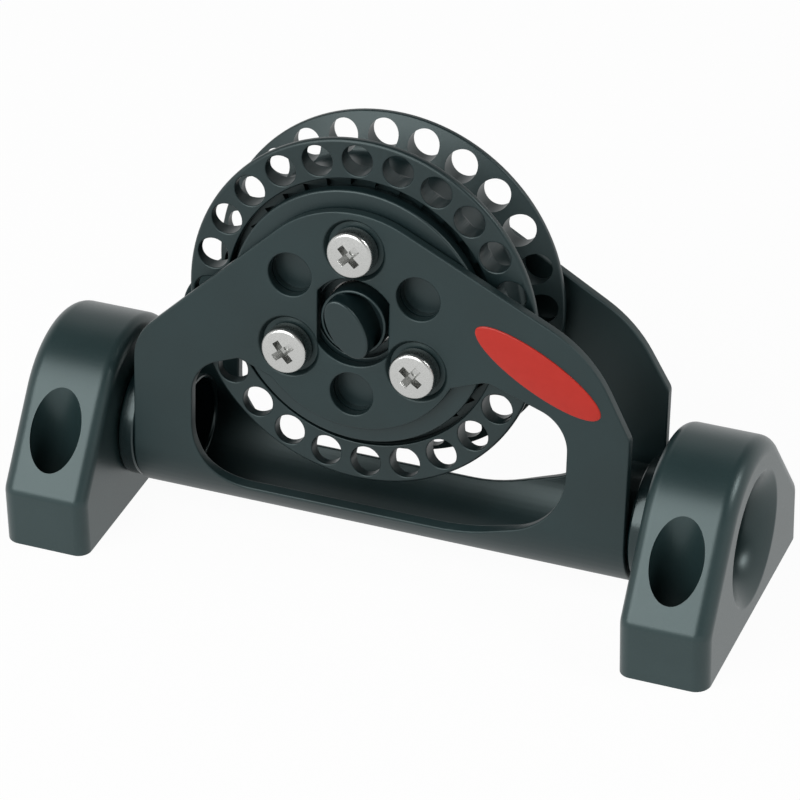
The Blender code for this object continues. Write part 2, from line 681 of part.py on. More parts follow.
def make_hub(name, front, hub_axis):
    """Half of the fixed hub: it carries half of the inner ball track; the front half the pawls."""
    split = SEAT_GAP / 2
    bore = SPINDLE_RADIUS + RUN_GAP
    reach = math.degrees(math.acos(SHOULDER_STEP / TRACK_RADIUS))
    split_deg = math.degrees(math.asin(split / TRACK_RADIUS))
    half_track = track(BALL_CIRCLE, 180 - reach, 180 - split_deg)
    if front:
        top = [(CARRIER_RADIUS, HUB_FACE), (CARRIER_RADIUS, CARRIER_BACK), (INNER_SHOULDER, CARRIER_BACK)]
    else:
        top = [(INNER_SHOULDER, HUB_FACE)]
    turn = (0, 0, 0) if front else (math.pi, 0, 0)
    profile = top + half_track + [(bore, split), (bore, HUB_FACE)]
    hub = turned(name, profile, BLACK_MOULDED, hub_axis, (0, 0, 0), turn, HUB_STEPS)
    screws, _ = hub_places()
    for k, angle in enumerate(screws):
        where = (*polar(SCREW_CIRCLE, angle), 0)
        way = cylinder(
            f"{name}_screw_way_{k}", SCREW_HOLE_RADIUS, 0, HUB_FACE + CUT_PAST, hub_axis, where, turn
        )
        cut(hub, way)
    if not front:
        clip_room = cylinder(
            name + "_clip_room", CLIP_RADIUS + RUN_GAP, clip_floor() - RUN_GAP, HUB_FACE + CUT_PAST,
            hub_axis, (0, 0, 0), turn,
        )
        cut(hub, clip_room)
        return hub
    depth = HUB_FACE - TOOTH_FLOOR
    at = (0, 0, TOOTH_FLOOR + (depth + CUT_PAST) / 2)
    cam_room = cylinder(
        "cam_room", CAM_RECESS_RADIUS, TOOTH_FLOOR, HUB_FACE + CUT_PAST, hub_axis, (0, 0, 0), (0, 0, 0), HUB_STEPS
    )
    cut(hub, cam_room)
    for k, angle in enumerate(pawl_angles()):
        turn = (0, 0, math.radians(angle))
        mesh = plate_mesh(f"pocket_{k}", [pocket_outline()], depth + CUT_PAST)
        cut(hub, place(f"pocket_{k}", mesh, None, hub_axis, at, turn))
        where = (*polar(PAWL_CIRCLE, angle), 0)
        seat = TOOTH_FLOOR - PAWL_PIN_SEAT - SEAT_GAP
        hole = PAWL_PIN_RADIUS + SEAT_GAP
        cut(hub, cylinder(f"pin_hole_{k}", hole, seat, HUB_FACE, hub_axis, where, (0, 0, 0), PIN_STEPS))
    return hub


def pawl_angles():
    return [PAWL_START_DEG + 360 * k / PAWL_COUNT for k in range(PAWL_COUNT)]


def pawl_outline():
    """Side view of a pawl: an eye, a nosed arm along local X and a tail that the cam holds."""
    eye = PAWL_EYE_RADIUS
    tail_end = polar(PAWL_TAIL_LENGTH, PAWL_TAIL_DEG)
    across = polar(PAWL_TAIL_WIDTH / 2, PAWL_TAIL_DEG + 90)
    return rounded(
        [
            (PAWL_LENGTH, -PAWL_NOSE / 2, PAWL_CORNER),
            (PAWL_LENGTH, PAWL_NOSE / 2, PAWL_CORNER),
            (1.1 * eye, 0.8 * eye, 0.4 * eye),
            (0.2 * eye, eye, 0.2 * eye),
            (*(tail_end - across), PAWL_CORNER),
            (*(tail_end + across), PAWL_CORNER),
            (-eye, -eye, 0.8 * eye),
            (0.5 * eye, -eye, 0.4 * eye),
        ]
    )


def make_pawls(hub_axis):
    """Three pawls with their pins and leaf springs, shown parked clear of the teeth."""
    eye_hole = [polar(PAWL_PIN_RADIUS + RUN_GAP, 360 * k / PIN_STEPS) for k in range(PIN_STEPS)]
    pin_low = TOOTH_FLOOR - PAWL_PIN_SEAT
    pin = [(0, HUB_FACE), (PAWL_PIN_RADIUS, HUB_FACE), (PAWL_PIN_RADIUS, pin_low), (0, pin_low)]
    for k, angle in enumerate(pawl_angles()):
        number = k + 1
        where = Vector((*polar(PAWL_CIRCLE, angle), 0))
        turn = (0, 0, math.radians(angle + PAWL_PARKED_DEG))
        mesh = plate_mesh(f"pawl_{number}", [pawl_outline(), eye_hole], PAWL_THICKNESS)
        place(f"pawl_{number}", mesh, STAINLESS, hub_axis, where + Vector((0, 0, PAWL_MIDDLE)), turn)
        turned(f"pawl_pin_{number}", pin, STAINLESS, hub_axis, where, (0, 0, 0), PIN_STEPS, False)
        leaf = plate_mesh(f"pawl_spring_{number}", [leaf_outline()], PAWL_THICKNESS)
        at = (0, 0, PAWL_MIDDLE)
        place(f"pawl_spring_{number}", leaf, STAINLESS, hub_axis, at, (0, 0, math.radians(angle)))


def leaf_outline():
    """A bowed leaf spring between a pocket's wall and its pawl, pin on the local X axis."""
    start, end = pocket_wall()
    along = (end - start).normalized()
    out = Vector((along.y, -along.x))
    first = start + along * ((end - start).length - LEAF_LENGTH) / 2 + out * SEAT_GAP
    lower, upper = [], []
    for k in range(9):
        share = k / 8
        bow = LEAF_BOW * 4 * share * (1 - share)
        point = first + along * LEAF_LENGTH * share + out * bow
        lower.append(point)
        upper.append(point + out * LEAF_THICKNESS)
    return lower + upper[::-1]


def clip_floor():
    return HUB_FACE - 2 * CLIP_THICKNESS


def make_switch(hub_axis):
    """The ratchet's on-off knob with its spindle, the cam that it turns and the clip at its end."""
    disc_top = CRADLE_HALF_WIDTH - KNOB_INSET
    disc_low = COVER_BACK + RUN_GAP
    groove_low = -clip_floor() - CLIP_THICKNESS - SEAT_GAP
    groove_high = -clip_floor() + SEAT_GAP
    groove_radius = SPINDLE_RADIUS - CLIP_GROOVE
    profile = [
        (0, disc_top - KNOB_CUP_DEPTH),
        (KNOB_RADIUS - KNOB_WALL, disc_top - KNOB_CUP_DEPTH),
        (KNOB_RADIUS - KNOB_WALL, disc_top),
        (KNOB_RADIUS - KNOB_EDGE, disc_top),
        (KNOB_RADIUS, disc_top - KNOB_EDGE),
        (KNOB_RADIUS, disc_low),
        (SPINDLE_RADIUS, disc_low),
        (SPINDLE_RADIUS, groove_high),
        (groove_radius, groove_high),
        (groove_radius, groove_low),
        (SPINDLE_RADIUS, groove_low),
        (SPINDLE_RADIUS, -HUB_FACE),
        (0, -HUB_FACE),
    ]
    knob = turned("switch_knob", profile, BLACK_MOULDED, hub_axis, (0, 0, 0), (0, 0, 0), BORE_STEPS, False)
    count = 24
    oval = []
    for k in range(count):
        x, y = polar(1, 360 * k / count)
        oval.append((x * GRIP_LENGTH / 2, y * GRIP_WIDTH / 2))
    sunk = KNOB_CUP_DEPTH + KNOB_EDGE
    grip = place(
        "grip", plate_mesh("grip", [oval], GRIP_HEIGHT + sunk), None, hub_axis,
        (0, 0, disc_top + (GRIP_HEIGHT - sunk) / 2), (0, 0, math.radians(GRIP_DEG)),
    )
    combine(knob, "UNION", grip)
    make_cam(hub_axis)
    make_clip(hub_axis)


def make_cam(hub_axis):
    """A three-lobed cam that holds the pawls' tails while the ratchet is off."""
    corners = []
    for angle in pawl_angles():
        lobe = angle + CAM_LOBE_DEG
        for offset in (-CAM_LOBE_HALF_DEG, CAM_LOBE_HALF_DEG):
            corners.append((*polar(CAM_LOBE_RADIUS, lobe + offset), CAM_LOBE_ROUND))
        corners.append((*polar(CAM_BASE_RADIUS, lobe + 180 / PAWL_COUNT), CAM_BASE_ROUND))
    bore = [polar(SPINDLE_RADIUS + SEAT_GAP, 360 * k / SMALL_STEPS) for k in range(SMALL_STEPS)]
    mesh = plate_mesh("switch_cam", [rounded(corners), bore], PAWL_THICKNESS)
    place("switch_cam", mesh, STAINLESS, hub_axis, (0, 0, PAWL_MIDDLE))


def make_clip(hub_axis):
    """An open spring clip in the spindle's groove, behind the hub."""
    inner = SPINDLE_RADIUS - CLIP_GROOVE + SEAT_GAP
    opening = CLIP_OPENING_DEG / 2
    span = 360 - 2 * opening
    outside = [polar(CLIP_RADIUS, opening + span * k / SMALL_STEPS) for k in range(SMALL_STEPS + 1)]
    inside = [polar(inner, opening + span * k / SMALL_STEPS) for k in range(SMALL_STEPS + 1)]
    mesh = plate_mesh("switch_clip", [outside + inside[::-1]], CLIP_THICKNESS)
    place("switch_clip", mesh, STAINLESS, hub_axis, (0, 0, -clip_floor() - CLIP_THICKNESS / 2))


def make_screws(hub_axis):
    """Pan-head screws that hold both cheeks and covers to the hub."""
    seat = SCREW_SEAT + SEAT_GAP
    top = SCREW_SEAT + SCREW_HEAD_HEIGHT
    head = SCREW_HEAD_RADIUS
    profile = [
        (0, top),
        (0.45 * head, top - 0.05 * SCREW_HEAD_HEIGHT),
        (0.80 * head, top - 0.24 * SCREW_HEAD_HEIGHT),
        (0.97 * head, top - 0.50 * SCREW_HEAD_HEIGHT),
        (head, top - 0.72 * SCREW_HEAD_HEIGHT),
        (head, seat),
        (SCREW_RADIUS, seat),
        (SCREW_RADIUS, seat - SCREW_LENGTH),
        (0, seat - SCREW_LENGTH),
    ]
    screws, _ = hub_places()
    for label, turn in (("front", (0, 0, 0)), ("back", (math.pi, 0, 0))):
        for k, angle in enumerate(screws):
            where = (*polar(SCREW_CIRCLE, angle), 0)
            turned(f"{label}_screw_{k + 1}", profile, STAINLESS, hub_axis, where, turn, SMALL_STEPS, False)


swing_frame = axis_empty("swing_axis", None, (0, 0, PIVOT_HEIGHT), (-math.radians(LEAN_DEG), 0, 0))
sheave_axis = axis_empty("sheave_axis", swing_frame, (SHEAVE_X, 0, SHEAVE_HEIGHT), FACING_FRONT)
make_foot("foot_left", -1)
make_foot("foot_right", 1)
make_trunnion("trunnion_left", -1, swing_frame)
make_trunnion("trunnion_right", 1, swing_frame)
make_cradle(swing_frame, sheave_axis)
make_sheave(sheave_axis)
make_balls(sheave_axis)
make_hub("hub_front", True, sheave_axis)
make_hub("hub_back", False, sheave_axis)
make_cover("cover_front", True, sheave_axis)
make_cover("cover_back", False, sheave_axis)
make_pawls(sheave_axis)
make_switch(sheave_axis)
make_screws(sheave_axis)
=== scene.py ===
import json
import math

import bmesh
import bpy
from mathutils import Matrix, Vector


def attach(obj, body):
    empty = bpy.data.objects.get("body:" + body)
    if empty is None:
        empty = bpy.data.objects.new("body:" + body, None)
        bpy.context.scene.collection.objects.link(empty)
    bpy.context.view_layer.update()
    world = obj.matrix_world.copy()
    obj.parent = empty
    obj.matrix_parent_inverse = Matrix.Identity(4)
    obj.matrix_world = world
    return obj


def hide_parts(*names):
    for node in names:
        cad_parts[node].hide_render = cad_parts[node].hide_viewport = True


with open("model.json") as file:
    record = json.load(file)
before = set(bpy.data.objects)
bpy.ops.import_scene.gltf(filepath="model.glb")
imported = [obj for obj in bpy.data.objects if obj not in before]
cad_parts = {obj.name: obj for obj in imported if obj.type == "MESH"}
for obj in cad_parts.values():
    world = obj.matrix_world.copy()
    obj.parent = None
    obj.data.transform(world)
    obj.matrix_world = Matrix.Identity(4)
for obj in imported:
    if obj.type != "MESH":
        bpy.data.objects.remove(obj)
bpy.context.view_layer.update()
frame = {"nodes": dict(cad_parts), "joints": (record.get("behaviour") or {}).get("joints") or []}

# Camera
# The photograph looks down on the block's front from its right side through a long lens. The
# place is worked out from the block's own corners: how far round, how high, how tilted, how far.
SIGHT_HEIGHT = 0.02616
SIGHT_ROUND = math.radians(22.402)
SIGHT_DOWN = math.radians(33.276)
SIGHT_TILT = math.radians(-1.268)
SIGHT_DISTANCE = 0.7212
PHOTO_SIDE = 800
LENS_PIXELS = 4443.3
PHOTO_CENTRE = Vector((397.154, 403.734))
SENSOR_MM = 36.0

back = Vector((
    math.sin(SIGHT_ROUND) * math.cos(SIGHT_DOWN),
    -math.cos(SIGHT_ROUND) * math.cos(SIGHT_DOWN),
    math.sin(SIGHT_DOWN),
))
level = Vector((math.cos(SIGHT_ROUND), math.sin(SIGHT_ROUND), 0))
upright = back.cross(level)
right = math.cos(SIGHT_TILT) * level + math.sin(SIGHT_TILT) * upright
up = -math.sin(SIGHT_TILT) * level + math.cos(SIGHT_TILT) * upright
aside = (PHOTO_CENTRE - Vector((PHOTO_SIDE, PHOTO_SIDE)) / 2) * SIGHT_DISTANCE / LENS_PIXELS
camera_data = bpy.data.cameras.new("camera")
camera_data.sensor_width = SENSOR_MM
camera_data.lens = LENS_PIXELS / PHOTO_SIDE * SENSOR_MM
camera_data.clip_start = 0.01
camera = bpy.data.objects.new("camera", camera_data)
camera_place = Matrix((right, up, back)).transposed().to_4x4()
camera_place.translation = (
    Vector((0, 0, SIGHT_HEIGHT)) + SIGHT_DISTANCE * back - aside.x * right + aside.y * up
)
camera.matrix_world = camera_place
bpy.context.scene.collection.objects.link(camera)
bpy.context.scene.camera = camera

# Deck feet
# Two injection-moulded feet of glass-filled nylon, each screwed to the deck through two
# counterbored holes. The rope runs in through the bell mouth in the outer face.
FOOT_THICKNESS = 0.0150
FOOT_HALF_WIDTH = 0.0239
FOOT_FLANK_HEIGHT = 0.0103
FOOT_FLANK_ROUND = 0.0022
FOOT_CROWN_RADIUS = 0.0166
FOOT_OUTER_EDGE = 0.0026
FOOT_INNER_EDGE = 0.0022
PIVOT_HEIGHT = 0.01415
DECK_HOLE_OFFSET = 0.0170
DECK_HOLE_RADIUS = 0.00325
COUNTERBORE_RADIUS = 0.0044
COUNTERBORE_FLOOR = 0.0060
MOUTH_RADIUS = 0.0117
MOUTH_LIP = 0.0009  # rounding where the bell mouth meets the outer face
MOUTH_SLOPE = math.radians(30)  # of the bell behind its lip, from the outer face
THROAT_DEPTH = 0.0049
ROPE_WAY_RADIUS = 0.0074
FOOT_SOCKET_RADIUS = 0.0093
FOOT_INNER_X = 0.0462
FLANK_STEPS = 8
CROWN_STEPS = 20
EDGE_STEPS = 10
LIP_STEPS = 8
BELL_STEPS = 20
PAST = 0.0020  # that a cutter runs past the face it cuts
ABOVE_FOOT = 0.04
AXIS_MERGE = 0.000002  # joins the points that a spun profile has on its axis
NYLON_IOR = 1.53
NYLON_GRAIN_MM = 0.35  # coarser than the mould's own grain, so that it shows
NYLON_CLOUD_MM = 14.0
SMOKE_TINT = (0.84, 1.0, 1.0, 1.0)  # the block's blacks shine a little towards green


def linear(colour):
    """An sRGB hex colour as the linear values that a shader takes."""
    parts = [int(colour[k:k + 2], 16) / 255 for k in (1, 3, 5)]
    return (*[c / 12.92 if c <= 0.04045 else ((c + 0.055) / 1.055) ** 2.4 for c in parts], 1)


def new_finish(name):
    """An empty material with its Principled shader, as (material, nodes, shader)."""
    finish = bpy.data.materials.new(name)
    finish.use_nodes = True
    nodes = finish.node_tree
    return finish, nodes, nodes.nodes["Principled BSDF"]


def add_node(nodes, kind, settings=(), links=()):
    """Adds a node: settings are (name or socket, value), links are (socket, node, output)."""
    made = nodes.nodes.new(kind)
    for name, value in settings:
        if isinstance(name, str) and hasattr(made, name):
            setattr(made, name, value)
        else:
            made.inputs[name].default_value = value
    for socket, node, output in links:
        nodes.links.new(node.outputs[output], made.inputs[socket])
    return made


def moulded_nylon(name, low, high, roughness):
    """Black glass-filled nylon off a spark-eroded mould: satin, with a fine even grain."""
    finish, nodes, shader = new_finish(name)
    shader.inputs["IOR"].default_value = NYLON_IOR
    shader.inputs["Specular Tint"].default_value = SMOKE_TINT
    where = add_node(nodes, "ShaderNodeTexCoord")
    grain = add_node(
        nodes, "ShaderNodeTexNoise",
        [("Scale", 1000 / NYLON_GRAIN_MM), ("Detail", 3.0), ("Roughness", 0.6)],
        [("Vector", where, "Object")],
    )
    cloud = add_node(
        nodes, "ShaderNodeTexNoise", [("Scale", 1000 / NYLON_CLOUD_MM), ("Detail", 3.0)],
        [("Vector", where, "Object")],
    )
    both = add_node(
        nodes, "ShaderNodeMath", [("operation", "MULTIPLY_ADD"), (1, 0.45)],
        [(0, grain, "Fac"), (2, cloud, "Fac")],
    )
    tone = add_node(nodes, "ShaderNodeMapRange", [(1, 0.45), (2, 1.0)], [(0, both, 0)])
    colour = add_node(
        nodes, "ShaderNodeMix", [("data_type", "RGBA"), (6, linear(low)), (7, linear(high))],
        [(0, tone, 0)],
    )
    gloss = add_node(
        nodes, "ShaderNodeMapRange", [(3, roughness - 0.05), (4, roughness + 0.07)],
        [(0, grain, "Fac")],
    )
    bump = add_node(
        nodes, "ShaderNodeBump", [("Strength", 0.16), ("Distance", 0.00006)],
        [("Height", grain, "Fac")],
    )
    nodes.links.new(colour.outputs[2], shader.inputs["Base Color"])
    nodes.links.new(gloss.outputs[0], shader.inputs["Roughness"])
    nodes.links.new(bump.outputs["Normal"], shader.inputs["Normal"])
    return finish


def polar(radius, degrees):
    """A point on a circle, counted from the first axis."""
    angle = math.radians(degrees)
    return Vector((radius * math.cos(angle), radius * math.sin(angle)))


def spun(profile, steps, closed=False):
    """A profile of points (radius, height) spun about Z."""
    bm = bmesh.new()
    verts = [bm.verts.new((radius, 0, height)) for radius, height in profile]
    edges = [bm.edges.new(pair) for pair in zip(verts, verts[1:])]
    if closed:
        edges.append(bm.edges.new((verts[-1], verts[0])))
    bmesh.ops.spin(
        bm, geom=verts + edges, cent=(0, 0, 0), axis=(0, 0, 1), dvec=(0, 0, 0),
        angle=2 * math.pi, steps=steps, use_merge=True,
    )
    bmesh.ops.remove_doubles(bm, verts=bm.verts, dist=AXIS_MERGE)
    bmesh.ops.recalc_face_normals(bm, faces=bm.faces)
    return bm


def finished(name, bm, finish, place=Matrix.Identity(4), sharp=35):
    """The object of a shape, with its place in its mesh and its flat faces shaded flat."""
    bmesh.ops.transform(bm, matrix=place, verts=bm.verts)
    mesh = bpy.data.meshes.new(name)
    bm.to_mesh(mesh)
    bm.free()
    mesh.shade_smooth()
    mesh.set_sharp_from_angle(angle=math.radians(sharp))
    if finish:
        mesh.materials.append(finish)
    made = bpy.data.objects.new(name, mesh)
    bpy.context.scene.collection.objects.link(made)
    return made


def carve(piece, cutters, sharp=35, solver="EXACT"):
    """Cuts each shape (bmesh, place) out of the piece, and leaves only the result."""
    helpers = [finished("cutter", bm, None, place) for bm, place in cutters]
    for helper in helpers:
        step = piece.modifiers.new("cut", "BOOLEAN")
        step.operation = "DIFFERENCE"
        step.solver = solver
        step.object = helper
    graph = bpy.context.evaluated_depsgraph_get()
    mesh = bpy.data.meshes.new_from_object(piece.evaluated_get(graph))
    piece.modifiers.clear()
    piece.data = mesh
    mesh.name = piece.name
    mesh.shade_smooth()
    mesh.set_sharp_from_angle(angle=math.radians(sharp))
    for helper in helpers:
        bpy.data.objects.remove(helper)
    return piece


def even_shading(piece):
    """Keeps flat faces flat beside their rounded edges."""
    step = piece.modifiers.new("even_shading", "WEIGHTED_NORMAL")
    step.keep_sharp = True
    step.weight = 80


def foot_outline(inset):
    """The foot's end view, drawn in by inset: upright flanks, sloping ones, then the crown."""
    corner = Vector((FOOT_HALF_WIDTH, FOOT_FLANK_HEIGHT - PIVOT_HEIGHT))
    slope = math.atan2(corner.y, corner.x) + math.acos(FOOT_CROWN_RADIUS / corner.length)
    crown = FOOT_CROWN_RADIUS - inset
    half_width = FOOT_HALF_WIDTH - inset
    height = (crown - half_width * math.cos(slope)) / math.sin(slope)
    turn = Vector((half_width - FOOT_FLANK_ROUND, height - FOOT_FLANK_ROUND * math.tan(slope / 2)))
    slope = math.degrees(slope)
    half = [Vector((half_width, -PIVOT_HEIGHT))]
    half += [
        turn + polar(FOOT_FLANK_ROUND, slope * k / FLANK_STEPS) for k in range(FLANK_STEPS + 1)
    ]
    half += [polar(crown, slope + (90 - slope) * k / CROWN_STEPS) for k in range(CROWN_STEPS + 1)]
    return half + [Vector((-point.x, point.y)) for point in half[-2::-1]]


def foot_body(side):
    """Rings of the foot's outline, drawn in towards its faces by their roundings."""
    rings = []
    for sign, edge in ((1, FOOT_OUTER_EDGE), (-1, FOOT_INNER_EDGE)):
        for k in range(EDGE_STEPS + 1):
            out, across = polar(edge, 90 * k / EDGE_STEPS)
            rings.append((sign * side * (FOOT_THICKNESS / 2 - edge + out), edge - across))
    bm = bmesh.new()
    faces = []
    for height, inset in sorted(rings):
        ring = [bm.verts.new((*point, height)) for point in foot_outline(inset)]
        faces.append(bm.faces.new(ring))
    for one, two in zip(faces, faces[1:]):
        bmesh.ops.bridge_loops(bm, edges=one.edges[:] + two.edges[:])
    bmesh.ops.delete(bm, geom=faces[1:-1], context="FACES_ONLY")
    bmesh.ops.recalc_face_normals(bm, faces=bm.faces)
    return bm


def foot_bore():
    """The bell mouth, the throat and the trunnion's socket, seen from the cradle's side."""
    throat = FOOT_THICKNESS - THROAT_DEPTH
    bell = []
    for k in range(LIP_STEPS + 1):
        angle = MOUTH_SLOPE * k / LIP_STEPS
        across, down = MOUTH_LIP * math.sin(angle), MOUTH_LIP * (1 - math.cos(angle))
        bell.append(Vector((MOUTH_RADIUS - across, FOOT_THICKNESS - down)))
    lip, end = bell[-1], Vector((ROPE_WAY_RADIUS, throat))
    turn = Vector((ROPE_WAY_RADIUS, lip.y - (lip.x - ROPE_WAY_RADIUS) * math.tan(MOUTH_SLOPE)))
    for k in range(1, BELL_STEPS + 1):
        share = k / BELL_STEPS
        bell.append(lip.lerp(turn, share).lerp(turn.lerp(end, share), share))
    return spun(
        [(0, FOOT_THICKNESS + PAST), (MOUTH_RADIUS, FOOT_THICKNESS + PAST)] + bell
        + [(FOOT_SOCKET_RADIUS, throat), (FOOT_SOCKET_RADIUS, -PAST), (0, -PAST)], steps=96,
    )


foot_nylon = moulded_nylon("foot_nylon", "#1c2c2d", "#263637", 0.33)
for name, side in (("left", -1), ("right", 1)):
    along_x = Matrix.Rotation(math.pi / 2, 4, "Z") @ Matrix.Rotation(math.pi / 2, 4, "X")
    middle = side * (FOOT_INNER_X + FOOT_THICKNESS / 2)
    place = Matrix.Translation((middle, 0, PIVOT_HEIGHT)) @ along_x
    foot = finished(f"deck_foot_{name}", foot_body(side), foot_nylon, place)
    bore_place = Matrix.Translation((side * FOOT_INNER_X, 0, PIVOT_HEIGHT))
    cutters = [(foot_bore(), bore_place @ Matrix.Rotation(side * math.pi / 2, 4, "Y"))]
    for y in (-DECK_HOLE_OFFSET, DECK_HOLE_OFFSET):
        way = spun([
            (0, ABOVE_FOOT), (COUNTERBORE_RADIUS, ABOVE_FOOT),
            (COUNTERBORE_RADIUS, COUNTERBORE_FLOOR), (DECK_HOLE_RADIUS, COUNTERBORE_FLOOR),
            (DECK_HOLE_RADIUS, -PAST), (0, -PAST),
        ], steps=64)
        cutters.append((way, Matrix.Translation((middle, y, 0))))
    carve(foot, cutters)
    even_shading(foot)
    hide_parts(f"foot_{name}")
    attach(foot, "feet")

# Trunnions
# Hollow pivots moulded of the same nylon: a spigot in each end of the trough, a collar in the
# gap and a journal that turns in the foot. The rope runs through them.
TRUNNION_RADIUS = 0.0090
COLLAR_RADIUS = 0.0102
SPIGOT_RADIUS = 0.00848
SPIGOT_LENGTH = 0.0070
HALF_CRADLE = 0.04275
COLLAR_EDGE = 0.0005
JOURNAL_EDGE = 0.0004
SPIGOT_EDGE = 0.0003
ROPE_WAY_EDGE = 0.0007
SEAT_GAP = 0.0003  # between faces that rest on each other or turn past each other
LEAN_DEG = 6.4  # how far the cradle leans back at rest


def rounded(corners, step=7.0):
    """A closed outline through corners (x, y, radius), each turned by an arc of that radius."""
    points = []
    for i, (x, y, radius) in enumerate(corners):
        here = Vector((x, y))
        to_last = (Vector(corners[i - 1][:2]) - here).normalized()
        to_next = (Vector(corners[(i + 1) % len(corners)][:2]) - here).normalized()
        if radius == 0:
            points.append(here)
            continue
        half = to_last.angle(to_next) / 2
        centre = here + (to_last + to_next).normalized() * radius / math.sin(half)
        start = here + to_last * radius / math.tan(half) - centre
        sweep = (here + to_next * radius / math.tan(half) - centre).angle_signed(start)
        count = max(2, math.ceil(abs(math.degrees(sweep)) / step))
        points += [centre + Matrix.Rotation(sweep * k / count, 2) @ start for k in range(count + 1)]
    return points


swing_joint = next(joint for joint in frame["joints"] if joint["name"] == "cradle_swing")
swing = Matrix.Translation(swing_joint["pos_m"]) @ Matrix.Rotation(-math.radians(LEAN_DEG), 4, "X")
trunnion_nylon = moulded_nylon("trunnion_nylon", "#0b181a", "#122224", 0.20)
for name, side in (("left", -1), ("right", 1)):
    journal_end = FOOT_INNER_X + FOOT_THICKNESS - THROAT_DEPTH - SEAT_GAP
    spigot_start = HALF_CRADLE - SPIGOT_LENGTH
    collar_start = HALF_CRADLE + SEAT_GAP
    collar_end = FOOT_INNER_X - SEAT_GAP
    profile = rounded([
        (TRUNNION_RADIUS, journal_end, JOURNAL_EDGE),
        (TRUNNION_RADIUS, collar_end, 0),
        (COLLAR_RADIUS, collar_end, COLLAR_EDGE),
        (COLLAR_RADIUS, collar_start, COLLAR_EDGE),
        (SPIGOT_RADIUS, collar_start, 0),
        (SPIGOT_RADIUS, spigot_start, SPIGOT_EDGE),
        (ROPE_WAY_RADIUS, spigot_start, ROPE_WAY_EDGE),
        (ROPE_WAY_RADIUS, journal_end, 0),
    ], step=15)
    place = swing @ Matrix.Rotation(side * math.pi / 2, 4, "Y")
    sleeve = spun(profile, steps=96, closed=True)
    trunnion = finished(f"hollow_trunnion_{name}", sleeve, trunnion_nylon, place)
    even_shading(trunnion)
    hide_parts(f"trunnion_{name}")
    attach(trunnion, "cradle")

# Cradle
# One blank of 1.8 mm aluminium sheet, punched flat with its window and holes, bent to a U round
# the rope's way and black anodised. Its punched edges are broken, so they catch the light.
SHEET = 0.0018
HALF_WIDTH = 0.01058
SHEAVE_X = -0.0044
SHEAVE_HEIGHT = 0.0298
HUB_PLATE_RADIUS = 0.0192
LEFT_ARM_SLOPE = math.tan(math.radians(43.6))
RIGHT_ARM_SLOPE = -math.tan(math.radians(25.3))
SHOULDER_X = 0.0355
BACK_ARM_SLOPE = -math.tan(math.radians(29.3))  # the back cheek is trimmed lower on the right
BACK_SHOULDER_X = 0.0363
LEFT_CORNER_RADIUS = 0.0090
SHOULDER_RADIUS = 0.0220
RIGHT_CORNER_HEIGHT = 0.0186
RIGHT_CORNER_RADIUS = 0.0020
WINDOW_HALF_LENGTH = 0.0324
WINDOW_SILL = -0.0043
WINDOW_SILL_RADIUS = 0.0100
WINDOW_HUB_RADIUS = 0.0188
WINDOW_LEFT_TOP = 0.0161
WINDOW_RIGHT_TOP = 0.0192
WINDOW_TOP_RADIUS = 0.0068
WINDOW_TUCK = 0.0080  # that the outline runs in under the hub plate
LEFT_PEAK = (-0.0010, 0.0194, 0.0010)  # from the hub plate's side, height, radius
RIGHT_PEAK = (0.0042, 0.0239, 0.0030)
SILL_TURN = (0.0012, 0.0120)  # height and radius of the sill's long turn on the right
SILL_RISE = (0.0144, 0.0300)  # where the sill leaves its straight, and by what radius
WINDOW_STEPS = 28
SWITCH_HOLE_RADIUS = 0.0076
SWITCH_HOLE_HALF_WIDTH = 0.0061
SCREW_CIRCLE = 0.0127
SCREW_DEGREES = (90, 210, 330)
DISH_RADIUS = 0.0052
DISH_DEPTH = 0.0009
DISH_TAPER = 0.0005
DISH_BREAK = ((0.00025, 0), (0.00008, 0.00005), (-0.00004, 0.00018))  # its edge: across, down
RECESS_RADIUS = 0.0037
RECESS_DEGREES = (150, 270, 30)
BROKEN_EDGE = 0.0003
SAME_POINT = 0.000005
ON_PLANE = 0.0000005
OUTLINE_SPACING = 0.0012
WINDOW_SPACING = 0.0008
HALVINGS = 30
MIDDLE_RADIUS = HALF_WIDTH - SHEET / 2
BEND_LENGTH = MIDDLE_RADIUS * math.pi / 2
BEND_STEPS = 32
HOLE_ARC_STEPS = 16
ETCH_MM = 0.30  # much coarser than the real etch, so that it shows
CLOUD_MM = 18.0
BRUSH_MM = 0.5  # coarser than the rolled sheet's own lines, so that they show

# The hub's own frame has Z along the sheave's axle, towards the front cheek.
hub = swing @ Matrix.Translation((SHEAVE_X, 0, SHEAVE_HEIGHT))
hub = hub @ Matrix.Rotation(math.pi / 2, 4, "X")


